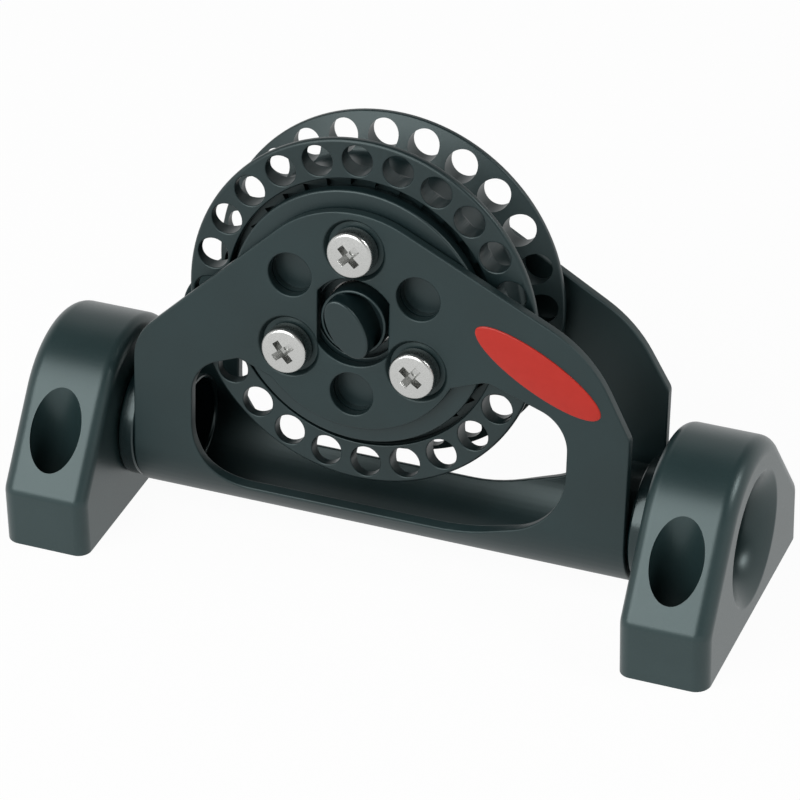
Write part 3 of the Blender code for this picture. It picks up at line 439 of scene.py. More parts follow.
def anodised(name, low, high, roughness, brushed):
    """Black anodised aluminium, etched matt first: dark, faintly green grey, with a dry sheen."""
    finish, nodes, shader = new_finish(name)
    shader.inputs["Specular Tint"].default_value = SMOKE_TINT
    where = add_node(nodes, "ShaderNodeTexCoord")
    speck = add_node(
        nodes, "ShaderNodeTexNoise", [("Scale", 1000 / ETCH_MM), ("Detail", 2.0)],
        [("Vector", where, "Object")],
    )
    cloud = add_node(
        nodes, "ShaderNodeTexNoise", [("Scale", 1000 / CLOUD_MM), ("Detail", 4.0)],
        [("Vector", where, "Object")],
    )
    stretch = add_node(
        nodes, "ShaderNodeMapping", [("Scale", brushed)], [("Vector", where, "Object")],
    )
    lines = add_node(
        nodes, "ShaderNodeTexNoise", [("Scale", 1000 / BRUSH_MM), ("Detail", 3.0)],
        [("Vector", stretch, "Vector")],
    )
    both = add_node(
        nodes, "ShaderNodeMath", [("operation", "MULTIPLY_ADD"), (1, 0.5)],
        [(0, lines, "Fac"), (2, cloud, "Fac")],
    )
    tone = add_node(nodes, "ShaderNodeMapRange", [(1, 0.5), (2, 1.0)], [(0, both, 0)])
    colour = add_node(
        nodes, "ShaderNodeMix", [("data_type", "RGBA"), (6, linear(low)), (7, linear(high))],
        [(0, tone, 0)],
    )
    gloss = add_node(
        nodes, "ShaderNodeMapRange", [(3, roughness - 0.04), (4, roughness + 0.06)],
        [(0, both, 0)],
    )
    bump = add_node(
        nodes, "ShaderNodeBump", [("Strength", 0.10), ("Distance", 0.00004)],
        [("Height", speck, "Fac")],
    )
    nodes.links.new(colour.outputs[2], shader.inputs["Base Color"])
    nodes.links.new(gloss.outputs[0], shader.inputs["Roughness"])
    nodes.links.new(bump.outputs["Normal"], shader.inputs["Normal"])
    return finish


def along_sheet(x, height):
    """A point of a cheek's front view, as a point of the flat blank."""
    if height >= 0:
        return Vector((x, BEND_LENGTH + height))
    return Vector((x, MIDDLE_RADIUS * math.acos(min(1.0, -height / MIDDLE_RADIUS))))


def cheek_outline(right_slope, shoulder_x):
    """A cheek's edge from its left end to its right one, as points of the blank."""
    left_at_zero, right_at_zero = [
        SHEAVE_HEIGHT + HUB_PLATE_RADIUS * math.hypot(1, slope) - slope * SHEAVE_X
        for slope in (LEFT_ARM_SLOPE, right_slope)
    ]
    peak_x = (right_at_zero - left_at_zero) / (LEFT_ARM_SLOPE - right_slope)
    half = rounded([
        (-HALF_CRADLE, 0, 0),
        (-HALF_CRADLE, left_at_zero - LEFT_ARM_SLOPE * HALF_CRADLE, LEFT_CORNER_RADIUS),
        (peak_x, left_at_zero + LEFT_ARM_SLOPE * peak_x, HUB_PLATE_RADIUS),
        (shoulder_x, right_at_zero + right_slope * shoulder_x, SHOULDER_RADIUS),
        (HALF_CRADLE, RIGHT_CORNER_HEIGHT, RIGHT_CORNER_RADIUS),
        (HALF_CRADLE, 0, 0),
    ], step=4)
    return [along_sheet(*point) for point in half[1:-1]]


def blank_outline():
    """The blank's edge: the front cheek's, then the back cheek's on the other side."""
    front = cheek_outline(RIGHT_ARM_SLOPE, SHOULDER_X)
    back_cheek = cheek_outline(BACK_ARM_SLOPE, BACK_SHOULDER_X)
    return front + [Vector((point.x, -point.y)) for point in back_cheek[::-1]]


def window_outline():
    """The window: a long sill, a lobe on each side, and the hub plate's round underside."""
    left_side = SHEAVE_X - WINDOW_HUB_RADIUS
    right_side = SHEAVE_X + WINDOW_HUB_RADIUS
    outline = rounded([
        (-WINDOW_HALF_LENGTH, WINDOW_SILL, WINDOW_SILL_RADIUS),
        (-WINDOW_HALF_LENGTH, WINDOW_LEFT_TOP, WINDOW_TOP_RADIUS),
        (left_side + LEFT_PEAK[0], *LEFT_PEAK[1:]),
        (left_side + WINDOW_TUCK, WINDOW_LEFT_TOP, 0),
        (right_side - WINDOW_TUCK, WINDOW_RIGHT_TOP, 0),
        (right_side + RIGHT_PEAK[0], *RIGHT_PEAK[1:]),
        (WINDOW_HALF_LENGTH, WINDOW_RIGHT_TOP, WINDOW_TOP_RADIUS),
        (WINDOW_HALF_LENGTH, *SILL_TURN),
        (SILL_RISE[0], WINDOW_SILL, SILL_RISE[1]),
    ], step=4)
    centre = Vector((SHEAVE_X, SHEAVE_HEIGHT))
    kept = []
    for point, after in zip(outline, outline[1:] + outline[:1]):
        inside, goes_inside = [
            (end - centre).length < WINDOW_HUB_RADIUS for end in (point, after)
        ]
        if not inside:
            kept.append(point)
        if inside == goes_inside:
            continue
        meeting = crossing(point, after, centre)
        turn = math.degrees(math.atan2(*(meeting - centre).yx))
        if goes_inside:
            kept.append(meeting)
            start = turn
        else:
            kept += [
                centre + polar(WINDOW_HUB_RADIUS, start + (turn - start) * k / WINDOW_STEPS)
                for k in range(1, WINDOW_STEPS + 1)
            ]
    return kept


def crossing(one, two, centre):
    """Where the line from one to two crosses the hub plate's underside."""
    low, high = one, two
    starts_inside = (one - centre).length < WINDOW_HUB_RADIUS
    for _ in range(HALVINGS):
        middle = (low + high) / 2
        if ((middle - centre).length < WINDOW_HUB_RADIUS) == starts_inside:
            low = middle
        else:
            high = middle
    return low


def dense(points, spacing=OUTLINE_SPACING):
    """The same closed outline with long straights divided, so that it can bend."""
    made = []
    for one, two in zip(points, points[1:] + points[:1]):
        count = max(1, math.ceil((two - one).length / spacing))
        made += [one.lerp(two, k / count) for k in range(count)]
    return made


def circle(centre, radius, count=64):
    """A round hole's outline."""
    return [centre + polar(radius, 360 * k / count) for k in range(count)]


def blank_mesh(outlines):
    """The punched blank, flat, with its edges broken."""
    curve = bpy.data.curves.new("blank", "CURVE")
    curve.dimensions = "2D"
    curve.fill_mode = "BOTH"
    curve.extrude = SHEET / 2 - BROKEN_EDGE
    curve.bevel_depth = BROKEN_EDGE
    curve.bevel_resolution = 2
    curve.offset = -BROKEN_EDGE
    for outline in outlines:
        spline = curve.splines.new("POLY")
        spline.points.add(len(outline) - 1)
        for point, (x, y) in zip(spline.points, outline):
            point.co = (x, y, 0, 1)
        spline.use_cyclic_u = True
    guide = bpy.data.objects.new("blank", curve)
    bpy.context.scene.collection.objects.link(guide)
    graph = bpy.context.evaluated_depsgraph_get()
    mesh = bpy.data.meshes.new_from_object(guide.evaluated_get(graph))
    bpy.data.objects.remove(guide)
    bm = bmesh.new()
    bm.from_mesh(mesh)
    bmesh.ops.remove_doubles(bm, verts=bm.verts, dist=SAME_POINT)
    bmesh.ops.recalc_face_normals(bm, faces=bm.faces)
    return bm


def bend(bm):
    """Bends the flat blank round the rope's way, front cheek towards -Y."""
    for k in range(-BEND_STEPS, BEND_STEPS + 1):
        bmesh.ops.bisect_plane(
            bm, geom=bm.verts[:] + bm.edges[:] + bm.faces[:], dist=ON_PLANE,
            plane_co=(0, BEND_LENGTH * k / BEND_STEPS, 0), plane_no=(0, 1, 0),
        )
    for vert in bm.verts:
        x, along, out = vert.co
        radius = MIDDLE_RADIUS + out
        if abs(along) <= BEND_LENGTH:
            angle = along / MIDDLE_RADIUS
            vert.co = (x, -radius * math.sin(angle), -radius * math.cos(angle))
        else:
            vert.co = (x, -math.copysign(radius, along), abs(along) - BEND_LENGTH)
    bmesh.ops.recalc_face_normals(bm, faces=bm.faces)


def switch_hole():
    """The double-D hole for the knob: two arcs joined by upright flats."""
    reach = 90 - math.degrees(math.acos(SWITCH_HOLE_HALF_WIDTH / SWITCH_HOLE_RADIUS))
    points = []
    for middle in (90, 270):
        points += [
            polar(SWITCH_HOLE_RADIUS, middle + reach * k / HOLE_ARC_STEPS)
            for k in range(-HOLE_ARC_STEPS, HOLE_ARC_STEPS + 1)
        ]
    return points


def copies(bm, places):
    """The same shape at each of the given places, in one mesh."""
    mesh = bpy.data.meshes.new("pattern")
    bm.to_mesh(mesh)
    bm.free()
    made = bmesh.new()
    for place in places:
        before = set(made.verts)
        made.from_mesh(mesh)
        bmesh.ops.transform(made, matrix=place, verts=[v for v in made.verts if v not in before])
    bpy.data.meshes.remove(mesh)
    return made


hub_centre = along_sheet(SHEAVE_X, SHEAVE_HEIGHT)
window = dense([along_sheet(*point) for point in dense(window_outline(), WINDOW_SPACING)])
outlines = [dense(blank_outline()), window, [Vector((p.x, -p.y)) for p in window]]
outlines.append([hub_centre + point for point in switch_hole()])
outlines += [
    circle(hub_centre + polar(SCREW_CIRCLE, angle), RECESS_RADIUS) for angle in RECESS_DEGREES
]
bm = blank_mesh(outlines)
bend(bm)
cradle_finish = anodised("cradle_anodised", "#0b191a", "#132426", 0.42, (1.0, 1.0, 6.0))
cradle = finished("bent_cradle", bm, cradle_finish, swing, sharp=40)
dish_profile = [(0, HALF_WIDTH + PAST), (DISH_RADIUS + DISH_BREAK[0][0], HALF_WIDTH + PAST)]
dish_profile += [(DISH_RADIUS + across, HALF_WIDTH - down) for across, down in DISH_BREAK]
dish_profile += [
    (DISH_RADIUS - DISH_TAPER, HALF_WIDTH - DISH_DEPTH),
    (0, HALF_WIDTH - DISH_DEPTH),
]
dish_places = []
for turn in (Matrix.Identity(4), Matrix.Rotation(math.pi, 4, "X")):
    for angle in SCREW_DEGREES:
        dish_places.append(hub @ Matrix.Translation((*polar(SCREW_CIRCLE, angle), 0)) @ turn)
dishes = copies(spun(dish_profile, steps=64), dish_places)
carve(cradle, [(dishes, Matrix.Identity(4))], sharp=40, solver="MANIFOLD")
even_shading(cradle)
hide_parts("cradle")
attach(cradle, "cradle")

# Bare oval plate
# A thin, plain oval cut from red vinyl under a clear domed face, and glued on the front
# cheek's right arm.
OVAL_CENTRE = (0.0271, 0.02735)
OVAL_LENGTH = 0.0241
OVAL_WIDTH = 0.0069
OVAL_TILT = math.radians(-28.3)
OVAL_THICKNESS = 0.0003
OVAL_SHOULDER = 0.06  # the domed border's width, as a share of the half width
OVAL_WALL = 0.75  # the border's height, as a share of the thickness
OVAL_SINK = 0.00001  # that its border runs into the sheet
OVAL_STEPS = 6
VINYL_SPECK_MM = 1.5  # much coarser than the pigment's grain, so that it shows


def domed_vinyl():
    """Red vinyl under a thin clear dome: an even, strong red with a soft shine."""
    finish, nodes, shader = new_finish("domed_red_vinyl")
    shader.inputs["IOR"].default_value = 1.5
    shader.inputs["Specular IOR Level"].default_value = 0.25
    shader.inputs["Coat Weight"].default_value = 0.1
    shader.inputs["Coat Roughness"].default_value = 0.12
    where = add_node(nodes, "ShaderNodeTexCoord")
    speck = add_node(
        nodes, "ShaderNodeTexNoise", [("Scale", 1000 / VINYL_SPECK_MM), ("Detail", 3.0)],
        [("Vector", where, "Object")],
    )
    colour = add_node(
        nodes, "ShaderNodeMix",
        [("data_type", "RGBA"), (6, linear("#ab2419")), (7, linear("#b52b20"))],
        [(0, speck, "Fac")],
    )
    gloss = add_node(nodes, "ShaderNodeMapRange", [(3, 0.30), (4, 0.42)], [(0, speck, "Fac")])
    nodes.links.new(colour.outputs[2], shader.inputs["Base Color"])
    nodes.links.new(gloss.outputs[0], shader.inputs["Roughness"])
    return finish


profile = [(0, OVAL_THICKNESS)]
for k in range(1, OVAL_STEPS + 1):
    across, above = polar(1, 90 - 90 * k / OVAL_STEPS)
    profile.append((1 - OVAL_SHOULDER * (1 - across), OVAL_THICKNESS * OVAL_WALL * above))
profile.append((1, -OVAL_SINK))
bm = spun(profile, steps=96)
bmesh.ops.scale(bm, vec=(OVAL_LENGTH / 2, OVAL_WIDTH / 2, 1), verts=bm.verts)
place = swing @ Matrix.Translation((OVAL_CENTRE[0], -HALF_WIDTH, OVAL_CENTRE[1]))
place = place @ Matrix.Rotation(math.pi / 2, 4, "X") @ Matrix.Rotation(OVAL_TILT, 4, "Z")
oval = finished("bare_oval_plate", bm, domed_vinyl(), place, sharp=60)
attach(oval, "cradle")

# Sheave
# Turned from aluminium bar, drilled through both flanges in one setting, its front cut with a
# ring of ratchet teeth, then hard anodised black. The drilled edges are lightly broken.
SHEAVE_RADIUS = 0.0300
SHEAVE_HALF = 0.00685
RIM_THICKNESS = 0.00125
RIM_OUTER_EDGE = 0.0006
RIM_INNER_EDGE = 0.0004
FACE_BORE_RADIUS = 0.0233
FACE_BORE_EDGE = 0.00025
GROOVE_RADIUS = 0.0237
GROOVE_HALF_WIDTH = 0.0029
GROOVE_ROUND = 0.0014
HOLE_COUNT = 24
HOLE_RADIUS = 0.0026
HOLE_CIRCLE = 0.0265
HOLE_START_DEG = 2.7
FACE_BORE_DEPTH = 0.0008
HUB_FACE = SHEAVE_HALF - FACE_BORE_DEPTH
TOOTH_COUNT = 33
TOOTH_ROOT_RADIUS = 0.0228
TOOTH_TIP_RADIUS = 0.0214
TOOTH_FLOOR = HUB_FACE - 0.00245
TOOTH_FACE_DEG = 0.5  # that a tooth's locking face takes up
TOOTH_RING_INNER = 0.0212
TOOTH_RING_OUTER = FACE_BORE_RADIUS - 0.00005
TOOTH_RING_DEPTH = 0.0012  # the teeth's tops, below the hub's face
BALL_CIRCLE = 0.0188
TRACK_RADIUS = 0.0025
TRACK_SHOULDER = 0.0014
TRACK_STEPS = 16
DRILL_LIP = 0.00022


def prism(points, low, high):
    """A flat outline extruded along Z from low to high."""
    bm = bmesh.new()
    face = bm.faces.new([bm.verts.new((x, y, low)) for x, y in points])
    raised = bmesh.ops.extrude_face_region(bm, geom=[face])["geom"]
    verts = [item for item in raised if isinstance(item, bmesh.types.BMVert)]
    bmesh.ops.translate(bm, verts=verts, vec=(0, 0, high - low))
    bmesh.ops.recalc_face_normals(bm, faces=bm.faces)
    return bm


def sheave_profile():
    """Half the wheel's section, round and back: bore, face, rim, groove and ball track."""
    inner = SHEAVE_HALF - RIM_THICKNESS
    reach = math.degrees(math.acos(TRACK_SHOULDER / TRACK_RADIUS))
    side = [
        (FACE_BORE_RADIUS, HUB_FACE, 0),
        (FACE_BORE_RADIUS, SHEAVE_HALF, FACE_BORE_EDGE),
        (SHEAVE_RADIUS, SHEAVE_HALF, RIM_OUTER_EDGE),
        (SHEAVE_RADIUS, inner, RIM_INNER_EDGE),
        (GROOVE_RADIUS, GROOVE_HALF_WIDTH, GROOVE_ROUND),
    ]
    low = [(radius, -height, edge) for radius, height, edge in side[::-1]]
    track = []
    for k in range(TRACK_STEPS + 1):
        out, along = polar(TRACK_RADIUS, -reach + 2 * reach * k / TRACK_STEPS)
        track.append((BALL_CIRCLE + out, along, 0))
    shoulder = BALL_CIRCLE + TRACK_SHOULDER
    bore = [(shoulder, -HUB_FACE, 0)] + track + [(shoulder, HUB_FACE, 0)]
    return rounded(side + low + bore, step=18)


def drill_profile():
    """A drill through both flanges that breaks the edges of its hole."""
    lip = []
    for degrees in (0, 30, 60, 90):
        rise, inward = polar(DRILL_LIP, degrees)
        lip.append((HOLE_RADIUS + DRILL_LIP - inward, SHEAVE_HALF - DRILL_LIP + rise))
    top = [(0, SHEAVE_HALF + PAST), (HOLE_RADIUS + DRILL_LIP, SHEAVE_HALF + PAST)] + lip
    return top + [(radius, -height) for radius, height in top[::-1]]


def teeth_outline():
    """The sawtooth ring, cut away inside: each tooth slopes out to a steep locking face."""
    points = []
    for k in range(TOOTH_COUNT):
        angle = 360 * k / TOOTH_COUNT
        points.append(polar(TOOTH_ROOT_RADIUS, angle - TOOTH_FACE_DEG))
        points.append(polar(TOOTH_TIP_RADIUS, angle))
    return points


sheave_finish = anodised("sheave_hard_anodised", "#0b1718", "#132224", 0.36, (1.0, 1.0, 1.0))
wheel = spun(sheave_profile(), steps=144, closed=True)
sheave = finished("perforated_sheave", wheel, sheave_finish, hub)
holes = [
    Matrix.Translation((*polar(HOLE_CIRCLE, HOLE_START_DEG - 90 + 360 * k / HOLE_COUNT), 0))
    for k in range(HOLE_COUNT)
]
cut_top = HUB_FACE + PAST / 4
tooth_ring = spun([
    (TOOTH_RING_INNER, cut_top),
    (TOOTH_RING_OUTER, cut_top),
    (TOOTH_RING_OUTER, HUB_FACE - TOOTH_RING_DEPTH),
    (TOOTH_RING_INNER, HUB_FACE - TOOTH_RING_DEPTH),
], steps=144, closed=True)
carve(sheave, [
    (copies(spun(drill_profile(), steps=40), holes), hub),
    (tooth_ring, hub),
    (prism(teeth_outline(), TOOTH_FLOOR, cut_top), hub),
])
even_shading(sheave)
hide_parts("sheave")
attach(sheave, "sheave")

# Ball row
# Twenty-four moulded and tumbled acetal balls that roll between the sheave and the hub. Only
# small glints of them show, in the gap round the front cover.
BALL_COUNT = 24
BALL_RADIUS = 0.00238
ACETAL_SPECK_MM = 0.8  # coarser than the marks of tumbling, so that it shows


def acetal():
    """White acetal, moulded and tumbled: milky, with a little light under its skin."""
    finish, nodes, shader = new_finish("tumbled_acetal")
    shader.inputs["IOR"].default_value = 1.48
    shader.inputs["Subsurface Weight"].default_value = 0.1
    shader.inputs["Subsurface Scale"].default_value = 0.001
    where = add_node(nodes, "ShaderNodeTexCoord")
    speck = add_node(
        nodes, "ShaderNodeTexNoise", [("Scale", 1000 / ACETAL_SPECK_MM), ("Detail", 2.0)],
        [("Vector", where, "Object")],
    )
    colour = add_node(
        nodes, "ShaderNodeMix",
        [("data_type", "RGBA"), (6, linear("#dfddd4")), (7, linear("#ecebe4"))],
        [(0, speck, "Fac")],
    )
    gloss = add_node(nodes, "ShaderNodeMapRange", [(3, 0.35), (4, 0.50)], [(0, speck, "Fac")])
    nodes.links.new(colour.outputs[2], shader.inputs["Base Color"])
    nodes.links.new(gloss.outputs[0], shader.inputs["Roughness"])
    return finish


bm = bmesh.new()
bmesh.ops.create_icosphere(bm, subdivisions=3, radius=BALL_RADIUS)
places = [
    Matrix.Translation((*polar(BALL_CIRCLE, 360 * k / BALL_COUNT), 0)) for k in range(BALL_COUNT)
]
balls = finished("ball_row", copies(bm, places), acetal(), hub)
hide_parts(*[f"bearing_ball_{k + 1:02d}" for k in range(BALL_COUNT)])
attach(balls, "ball_row")

# Hub halves
# The fixed hub is moulded in two halves that carry the inner ball track; the front one also
# carries the pawls. Both are hidden behind the covers.
hub_nylon = moulded_nylon("hub_nylon", "#0b181a", "#122224", 0.42)


def give(node, finish):
    """A CAD node keeps its shape and takes this finish."""
    mesh = frame["nodes"][node].data
    mesh.materials.clear()
    mesh.materials.append(finish)


give("hub_front", hub_nylon)
give("hub_back", hub_nylon)

# Hub covers
# Moulded nylon discs between the cheeks and the hub. The front one has a round recess behind
# each of the cheek's three plain holes.
COVER_RADIUS = 0.0220
COVER_FRONT = 0.00848
COVER_BACK = HUB_FACE + SEAT_GAP
COVER_HOLE_RADIUS = 0.0070
COVER_LIP_RADIUS = 0.0059  # a lip at the foot of the front cover's hole, close round the knob
COVER_LIP = 0.0005
BACK_HOLE_RADIUS = 0.0033
COVER_RIM = 0.0004
COVER_BACK_RIM = 0.0003
COVER_HOLE_EDGE = 0.0002
RECESS_DEPTH = 0.0012
SCREW_HOLE_RADIUS = 0.0023


def drill(radius, floor, steps):
    """A cutter from in front of the cover down to a floor."""
    top = COVER_FRONT + PAST
    return spun([(0, top), (radius, top), (radius, floor), (0, floor)], steps)


def hub_pattern(degrees):
    """Places on the screws' circle, at these angles."""
    return [Matrix.Translation((*polar(SCREW_CIRCLE, angle), 0)) for angle in degrees]


cover_nylon = moulded_nylon("cover_nylon", "#0b181a", "#122224", 0.38)
for name in ("front", "back"):
    front = name == "front"
    bore = COVER_HOLE_RADIUS if front else BACK_HOLE_RADIUS
    lip = COVER_LIP_RADIUS if front else bore
    corners = [
        (bore, COVER_FRONT, COVER_HOLE_EDGE),
        (COVER_RADIUS, COVER_FRONT, COVER_RIM),
        (COVER_RADIUS, COVER_BACK, COVER_BACK_RIM),
        (lip, COVER_BACK, 0),
    ]
    if front:
        corners += [(lip, COVER_BACK + COVER_LIP, 0), (bore, COVER_BACK + COVER_LIP, 0)]
    disc = spun(rounded(corners, step=12), steps=128, closed=True)
    place = hub if front else hub @ Matrix.Rotation(math.pi, 4, "X")
    cover = finished(f"hub_cover_{name}", disc, cover_nylon, place)
    facing = hub if front else hub @ Matrix.Scale(-1, 4, (0, 0, 1))
    way = drill(SCREW_HOLE_RADIUS, COVER_BACK - PAST, steps=32)
    cutters = [(copies(way, hub_pattern(SCREW_DEGREES)), facing)]
    if front:
        recess = drill(RECESS_RADIUS, COVER_FRONT - RECESS_DEPTH, steps=64)
        cutters.append((copies(recess, hub_pattern(RECESS_DEGREES)), hub))
    carve(cover, cutters)
    even_shading(cover)
    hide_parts(f"cover_{name}")
    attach(cover, "cradle")

# Hub screws
# Six stainless pan-head screws with a cross recess, cold-headed and tumbled bright. Three hold
# each cheek and its cover to the hub, with their heads in the cheek's dishes.
HEAD_RADIUS = 0.0039
HEAD_HEIGHT = 0.0035
HEAD_CROWN = 0.0003
HEAD_EDGE = 0.0006
HEAD_FOOT = 0.0003
HEAD_FOOT_EDGE = 0.0002
HEAD_SEAT = HALF_WIDTH - DISH_DEPTH
SHANK_RADIUS = 0.0020
SHANK_LENGTH = 0.0078
CROSS_REACH = 0.0023
CROSS_WIDTH = 0.0013
CROSS_DEPTH = 0.0022
CROSS_LIFT = 0.0003
CROSS_TAPER = (0.5, 0.7, 1)
PIT_RADIUS = 0.0010
CROSS_TURNS = (45, 40, 52, 20, 70, 35)  # as the driver left them
TUMBLE_MARK_MM = 0.25  # coarser than the real marks, so that they show


def bright_stainless():
    """Cold-headed stainless steel, tumbled: bright, with a soft haze and fine marks."""
    finish, nodes, shader = new_finish("tumbled_stainless")
    shader.inputs["Metallic"].default_value = 1.0
    where = add_node(nodes, "ShaderNodeTexCoord")
    marks = add_node(
        nodes, "ShaderNodeTexNoise", [("Scale", 1000 / TUMBLE_MARK_MM), ("Detail", 4.0)],
        [("Vector", where, "Object")],
    )
    colour = add_node(
        nodes, "ShaderNodeMix",
        [("data_type", "RGBA"), (6, linear("#b2b3b1")), (7, linear("#c9cac8"))],
        [(0, marks, "Fac")],
    )
    gloss = add_node(nodes, "ShaderNodeMapRange", [(3, 0.20), (4, 0.38)], [(0, marks, "Fac")])
    bump = add_node(
        nodes, "ShaderNodeBump", [("Strength", 0.10), ("Distance", 0.00003)],
        [("Height", marks, "Fac")],
    )
    nodes.links.new(colour.outputs[2], shader.inputs["Base Color"])
    nodes.links.new(gloss.outputs[0], shader.inputs["Roughness"])
    nodes.links.new(bump.outputs["Normal"], shader.inputs["Normal"])
    return finish


def cross_recess(place):
    """The driver's cross, as cutters at a place: two tapered blades and the pit between them."""
    cutters = []
    for angle in (0, 90):
        bm = bmesh.new()
        bmesh.ops.create_cube(bm, size=1.0)
        bmesh.ops.scale(bm, vec=(2 * CROSS_REACH, CROSS_WIDTH, CROSS_DEPTH), verts=bm.verts)
        bmesh.ops.translate(bm, verts=bm.verts, vec=(0, 0, -CROSS_DEPTH / 2 + CROSS_LIFT))
        low = [vert for vert in bm.verts if vert.co.z < 0]
        bmesh.ops.scale(bm, vec=CROSS_TAPER, verts=low)
        cutters.append((bm, place @ Matrix.Rotation(math.radians(angle), 4, "Z")))
    pit = spun([
        (0, CROSS_LIFT), (PIT_RADIUS, CROSS_LIFT), (PIT_RADIUS / 2, -CROSS_DEPTH),
        (0, -CROSS_DEPTH),
    ], steps=24)
    return cutters + [(pit, place)]


steel = bright_stainless()
head_profile = rounded([
    (0, HEAD_HEIGHT, 0),
    (HEAD_RADIUS, HEAD_HEIGHT - HEAD_CROWN, HEAD_EDGE),
    (HEAD_RADIUS, HEAD_FOOT, HEAD_FOOT_EDGE),
    (SHANK_RADIUS, HEAD_FOOT, 0),
    (SHANK_RADIUS, HEAD_FOOT - SHANK_LENGTH, 0),
    (0, HEAD_FOOT - SHANK_LENGTH, 0),
], step=10)
for side, turn, first in (("front", 0, 0), ("back", math.pi, 3)):
    for k, angle in enumerate(SCREW_DEGREES):
        place = hub @ Matrix.Translation((*polar(SCREW_CIRCLE, angle), 0))
        place = place @ Matrix.Rotation(turn, 4, "X")
        place = place @ Matrix.Translation((0, 0, HEAD_SEAT))
        head = spun(head_profile, steps=64)
        screw = finished(f"hub_screw_{side}_{k + 1}", head, steel, place)
        cross = Matrix.Rotation(math.radians(CROSS_TURNS[first + k]), 4, "Z")
        cross = place @ Matrix.Translation((0, 0, HEAD_HEIGHT)) @ cross
        carve(screw, cross_recess(cross), solver="MANIFOLD")
        even_shading(screw)
        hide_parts(f"{side}_screw_{k + 1}")
        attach(screw, "cradle")

# Switch knob
# The ratchet's on-off knob: a moulded nylon cup with an oval grip across it, on the spindle
# that turns the cam.
KNOB_RADIUS = 0.0056
KNOB_TOP = HALF_WIDTH - 0.0002
KNOB_WALL = 0.0005
KNOB_CUP_DEPTH = 0.0025
KNOB_CUP_EDGE = 0.0002
KNOB_LIP_INNER_EDGE = 0.0001
KNOB_LIP_OUTER_EDGE = 0.0003
SPINDLE_RADIUS = 0.0030
SPINDLE_EDGE = 0.0002
GRIP_LENGTH = 0.0106
GRIP_WIDTH = 0.0061
GRIP_TOP = KNOB_TOP + 0.0032
GRIP_TURN = math.radians(122)
GRIP_EDGE = 0.0004
GRIP_ROOT = 0.0003  # that the grip runs into the cup's floor

knob_nylon = moulded_nylon("knob_nylon", "#0b181a", "#122224", 0.36)
cup_floor = KNOB_TOP - KNOB_CUP_DEPTH
cup_foot = COVER_BACK + SEAT_GAP
profile = rounded([
    (0, cup_floor, 0),
    (KNOB_RADIUS - KNOB_WALL, cup_floor, KNOB_CUP_EDGE),
    (KNOB_RADIUS - KNOB_WALL, KNOB_TOP, KNOB_LIP_INNER_EDGE),
    (KNOB_RADIUS, KNOB_TOP, KNOB_LIP_OUTER_EDGE),
    (KNOB_RADIUS, cup_foot, 0),
    (SPINDLE_RADIUS, cup_foot, 0),
    (SPINDLE_RADIUS, -HUB_FACE, SPINDLE_EDGE),
    (0, -HUB_FACE, 0),
], step=15)
bm = spun(profile, steps=80)
grip_foot = cup_floor - GRIP_ROOT
oval_cut = bmesh.ops.create_circle(bm, cap_ends=True, segments=56, radius=1.0)
grip = oval_cut["verts"]
bmesh.ops.scale(bm, vec=(GRIP_LENGTH / 2, GRIP_WIDTH / 2, 1), verts=grip)
bmesh.ops.translate(bm, verts=grip, vec=(0, 0, grip_foot))
base = grip[0].link_faces[0]
raised = bmesh.ops.extrude_face_region(bm, geom=[base])["geom"]
top = [item for item in raised if isinstance(item, bmesh.types.BMVert)]
bmesh.ops.translate(bm, verts=top, vec=(0, 0, GRIP_TOP - grip_foot))
bmesh.ops.rotate(bm, verts=grip + top, matrix=Matrix.Rotation(GRIP_TURN, 3, "Z"))
rim = [edge for edge in bm.edges if edge.verts[0] in top and edge.verts[1] in top]
bmesh.ops.bevel(
    bm, geom=rim, offset=GRIP_EDGE, affect="EDGES", segments=4, profile=0.5, material=-1,
)
bmesh.ops.recalc_face_normals(bm, faces=bm.faces)
knob = finished("switch_knob_turned", bm, knob_nylon, hub)
even_shading(knob)
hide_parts("switch_knob")
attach(knob, "switch")

# Pawls, cam and springs
# Stamped and tumbled stainless parts inside the hub, which the front cover hides. They keep
# the CAD's shapes, and take the screws' finish.
for node in ("switch_cam", "switch_clip"):
    give(node, steel)
for k in range(3):
    for node in (f"pawl_{k + 1}", f"pawl_pin_{k + 1}", f"pawl_spring_{k + 1}"):
        give(node, steel)

# Studio
# A plain pale table under wide soft lamps, in a white room whose ceiling is dark, so that the
# block's blacks mirror white from the sides and the table, and less from above.
FLOOR_SIDE = 6.0
FLOOR_GLOW = 0.96  # the share of plain white in the table, as the eye and a reflection see it
ROOM_LIGHT = 0.15
CEILING = 0.08  # the light from straight above, as a share of that from the walls
CEILING_START = 0.15  # height of a direction from which the walls darken
CEILING_FULL = 0.80  # and from which they are as dark as the ceiling
LAMPS = (  # name, place, side in metres, watts
    ("key", (-0.33, -0.70, 0.66), 0.9, 11.0),
    ("side", (0.76, 0.16, 0.78), 0.35, 4.0),
    ("back", (-0.35, 0.75, 0.78), 0.5, 0.3),
)
LAMP_TARGET = (0, 0, 0.03)


def seen_rays(nodes):
    """One for the rays by which the background is seen: straight, mirrored or through glass."""
    rays = add_node(nodes, "ShaderNodeLightPath")
    mirrored = add_node(
        nodes, "ShaderNodeMath", [("operation", "MAXIMUM")],
        [(0, rays, "Is Camera Ray"), (1, rays, "Is Glossy Ray")],
    )
    return add_node(
        nodes, "ShaderNodeMath", [("operation", "MAXIMUM")],
        [(0, mirrored, 0), (1, rays, "Is Transmission Ray")],
    )


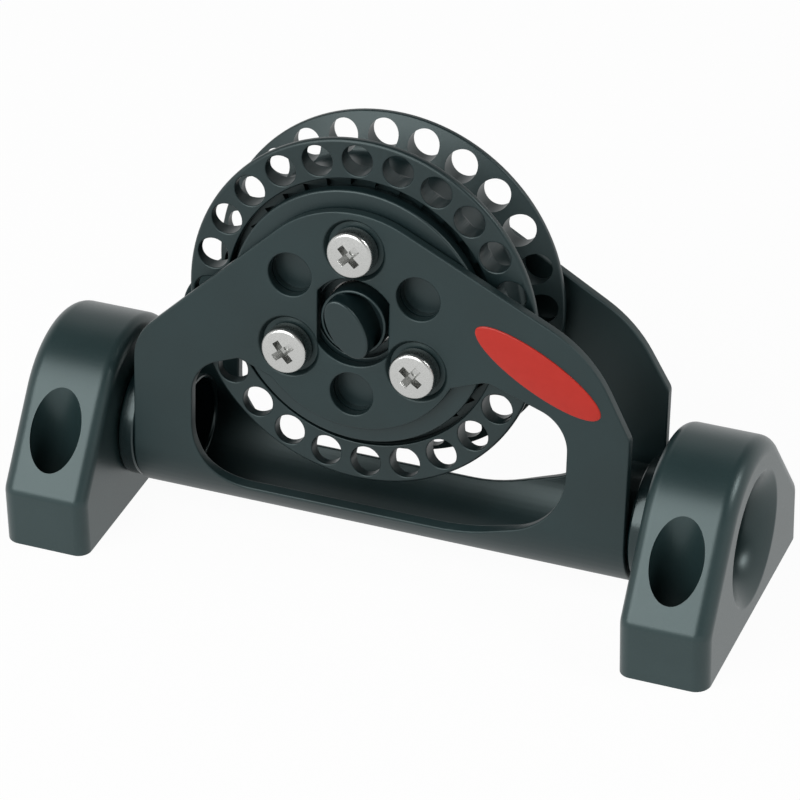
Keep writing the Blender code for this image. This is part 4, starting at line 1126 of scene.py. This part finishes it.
def table_finish():
    """Matt pale laminate that looks plain white, and still takes the block's shadow."""
    finish, nodes, shader = new_finish("pale_table")
    shader.inputs["Base Color"].default_value = linear("#e8e8e8")
    shader.inputs["Roughness"].default_value = 0.9
    plain = add_node(nodes, "ShaderNodeEmission", [("Color", (1, 1, 1, 1)), ("Strength", 1.0)])
    share = add_node(
        nodes, "ShaderNodeMath", [("operation", "MULTIPLY"), (1, FLOOR_GLOW)],
        [(0, seen_rays(nodes), 0)],
    )
    mixed = add_node(
        nodes, "ShaderNodeMixShader", links=[(0, share, 0), (1, shader, 0), (2, plain, 0)],
    )
    nodes.links.new(mixed.outputs[0], nodes.nodes["Material Output"].inputs["Surface"])
    return finish


bm = bmesh.new()
bmesh.ops.create_grid(bm, x_segments=1, y_segments=1, size=FLOOR_SIDE / 2)
table = finished("table", bm, table_finish())

world = bpy.data.worlds.new("studio")
bpy.context.scene.world = world
world.use_nodes = True
nodes = world.node_tree
strength = add_node(
    nodes, "ShaderNodeMapRange", [(3, ROOM_LIGHT), (4, 1.0)], [(0, seen_rays(nodes), 0)],
)
direction = add_node(nodes, "ShaderNodeTexCoord")
height = add_node(nodes, "ShaderNodeSeparateXYZ", links=[("Vector", direction, "Generated")])
ceiling = add_node(
    nodes, "ShaderNodeMapRange",
    [(1, CEILING_START), (2, CEILING_FULL), (3, 1.0), (4, CEILING)], [(0, height, "Z")],
)
room = add_node(
    nodes, "ShaderNodeMath", [("operation", "MULTIPLY")], [(0, strength, 0), (1, ceiling, 0)],
)
background = nodes.nodes["Background"]
background.inputs["Color"].default_value = (1, 1, 1, 1)
nodes.links.new(room.outputs[0], background.inputs["Strength"])


def softbox(name, place, side, watts):
    """A square soft lamp that faces the block."""
    lamp = bpy.data.lights.new(name, "AREA")
    lamp.shape = "SQUARE"
    lamp.size = side
    lamp.energy = watts
    made = bpy.data.objects.new(name, lamp)
    made.location = place
    aim = Vector(LAMP_TARGET) - Vector(place)
    made.rotation_euler = aim.to_track_quat("-Z", "Y").to_euler()
    bpy.context.scene.collection.objects.link(made)


for lamp_settings in LAMPS:
    softbox(*lamp_settings)

bpy.context.scene.view_settings.view_transform = "Standard"
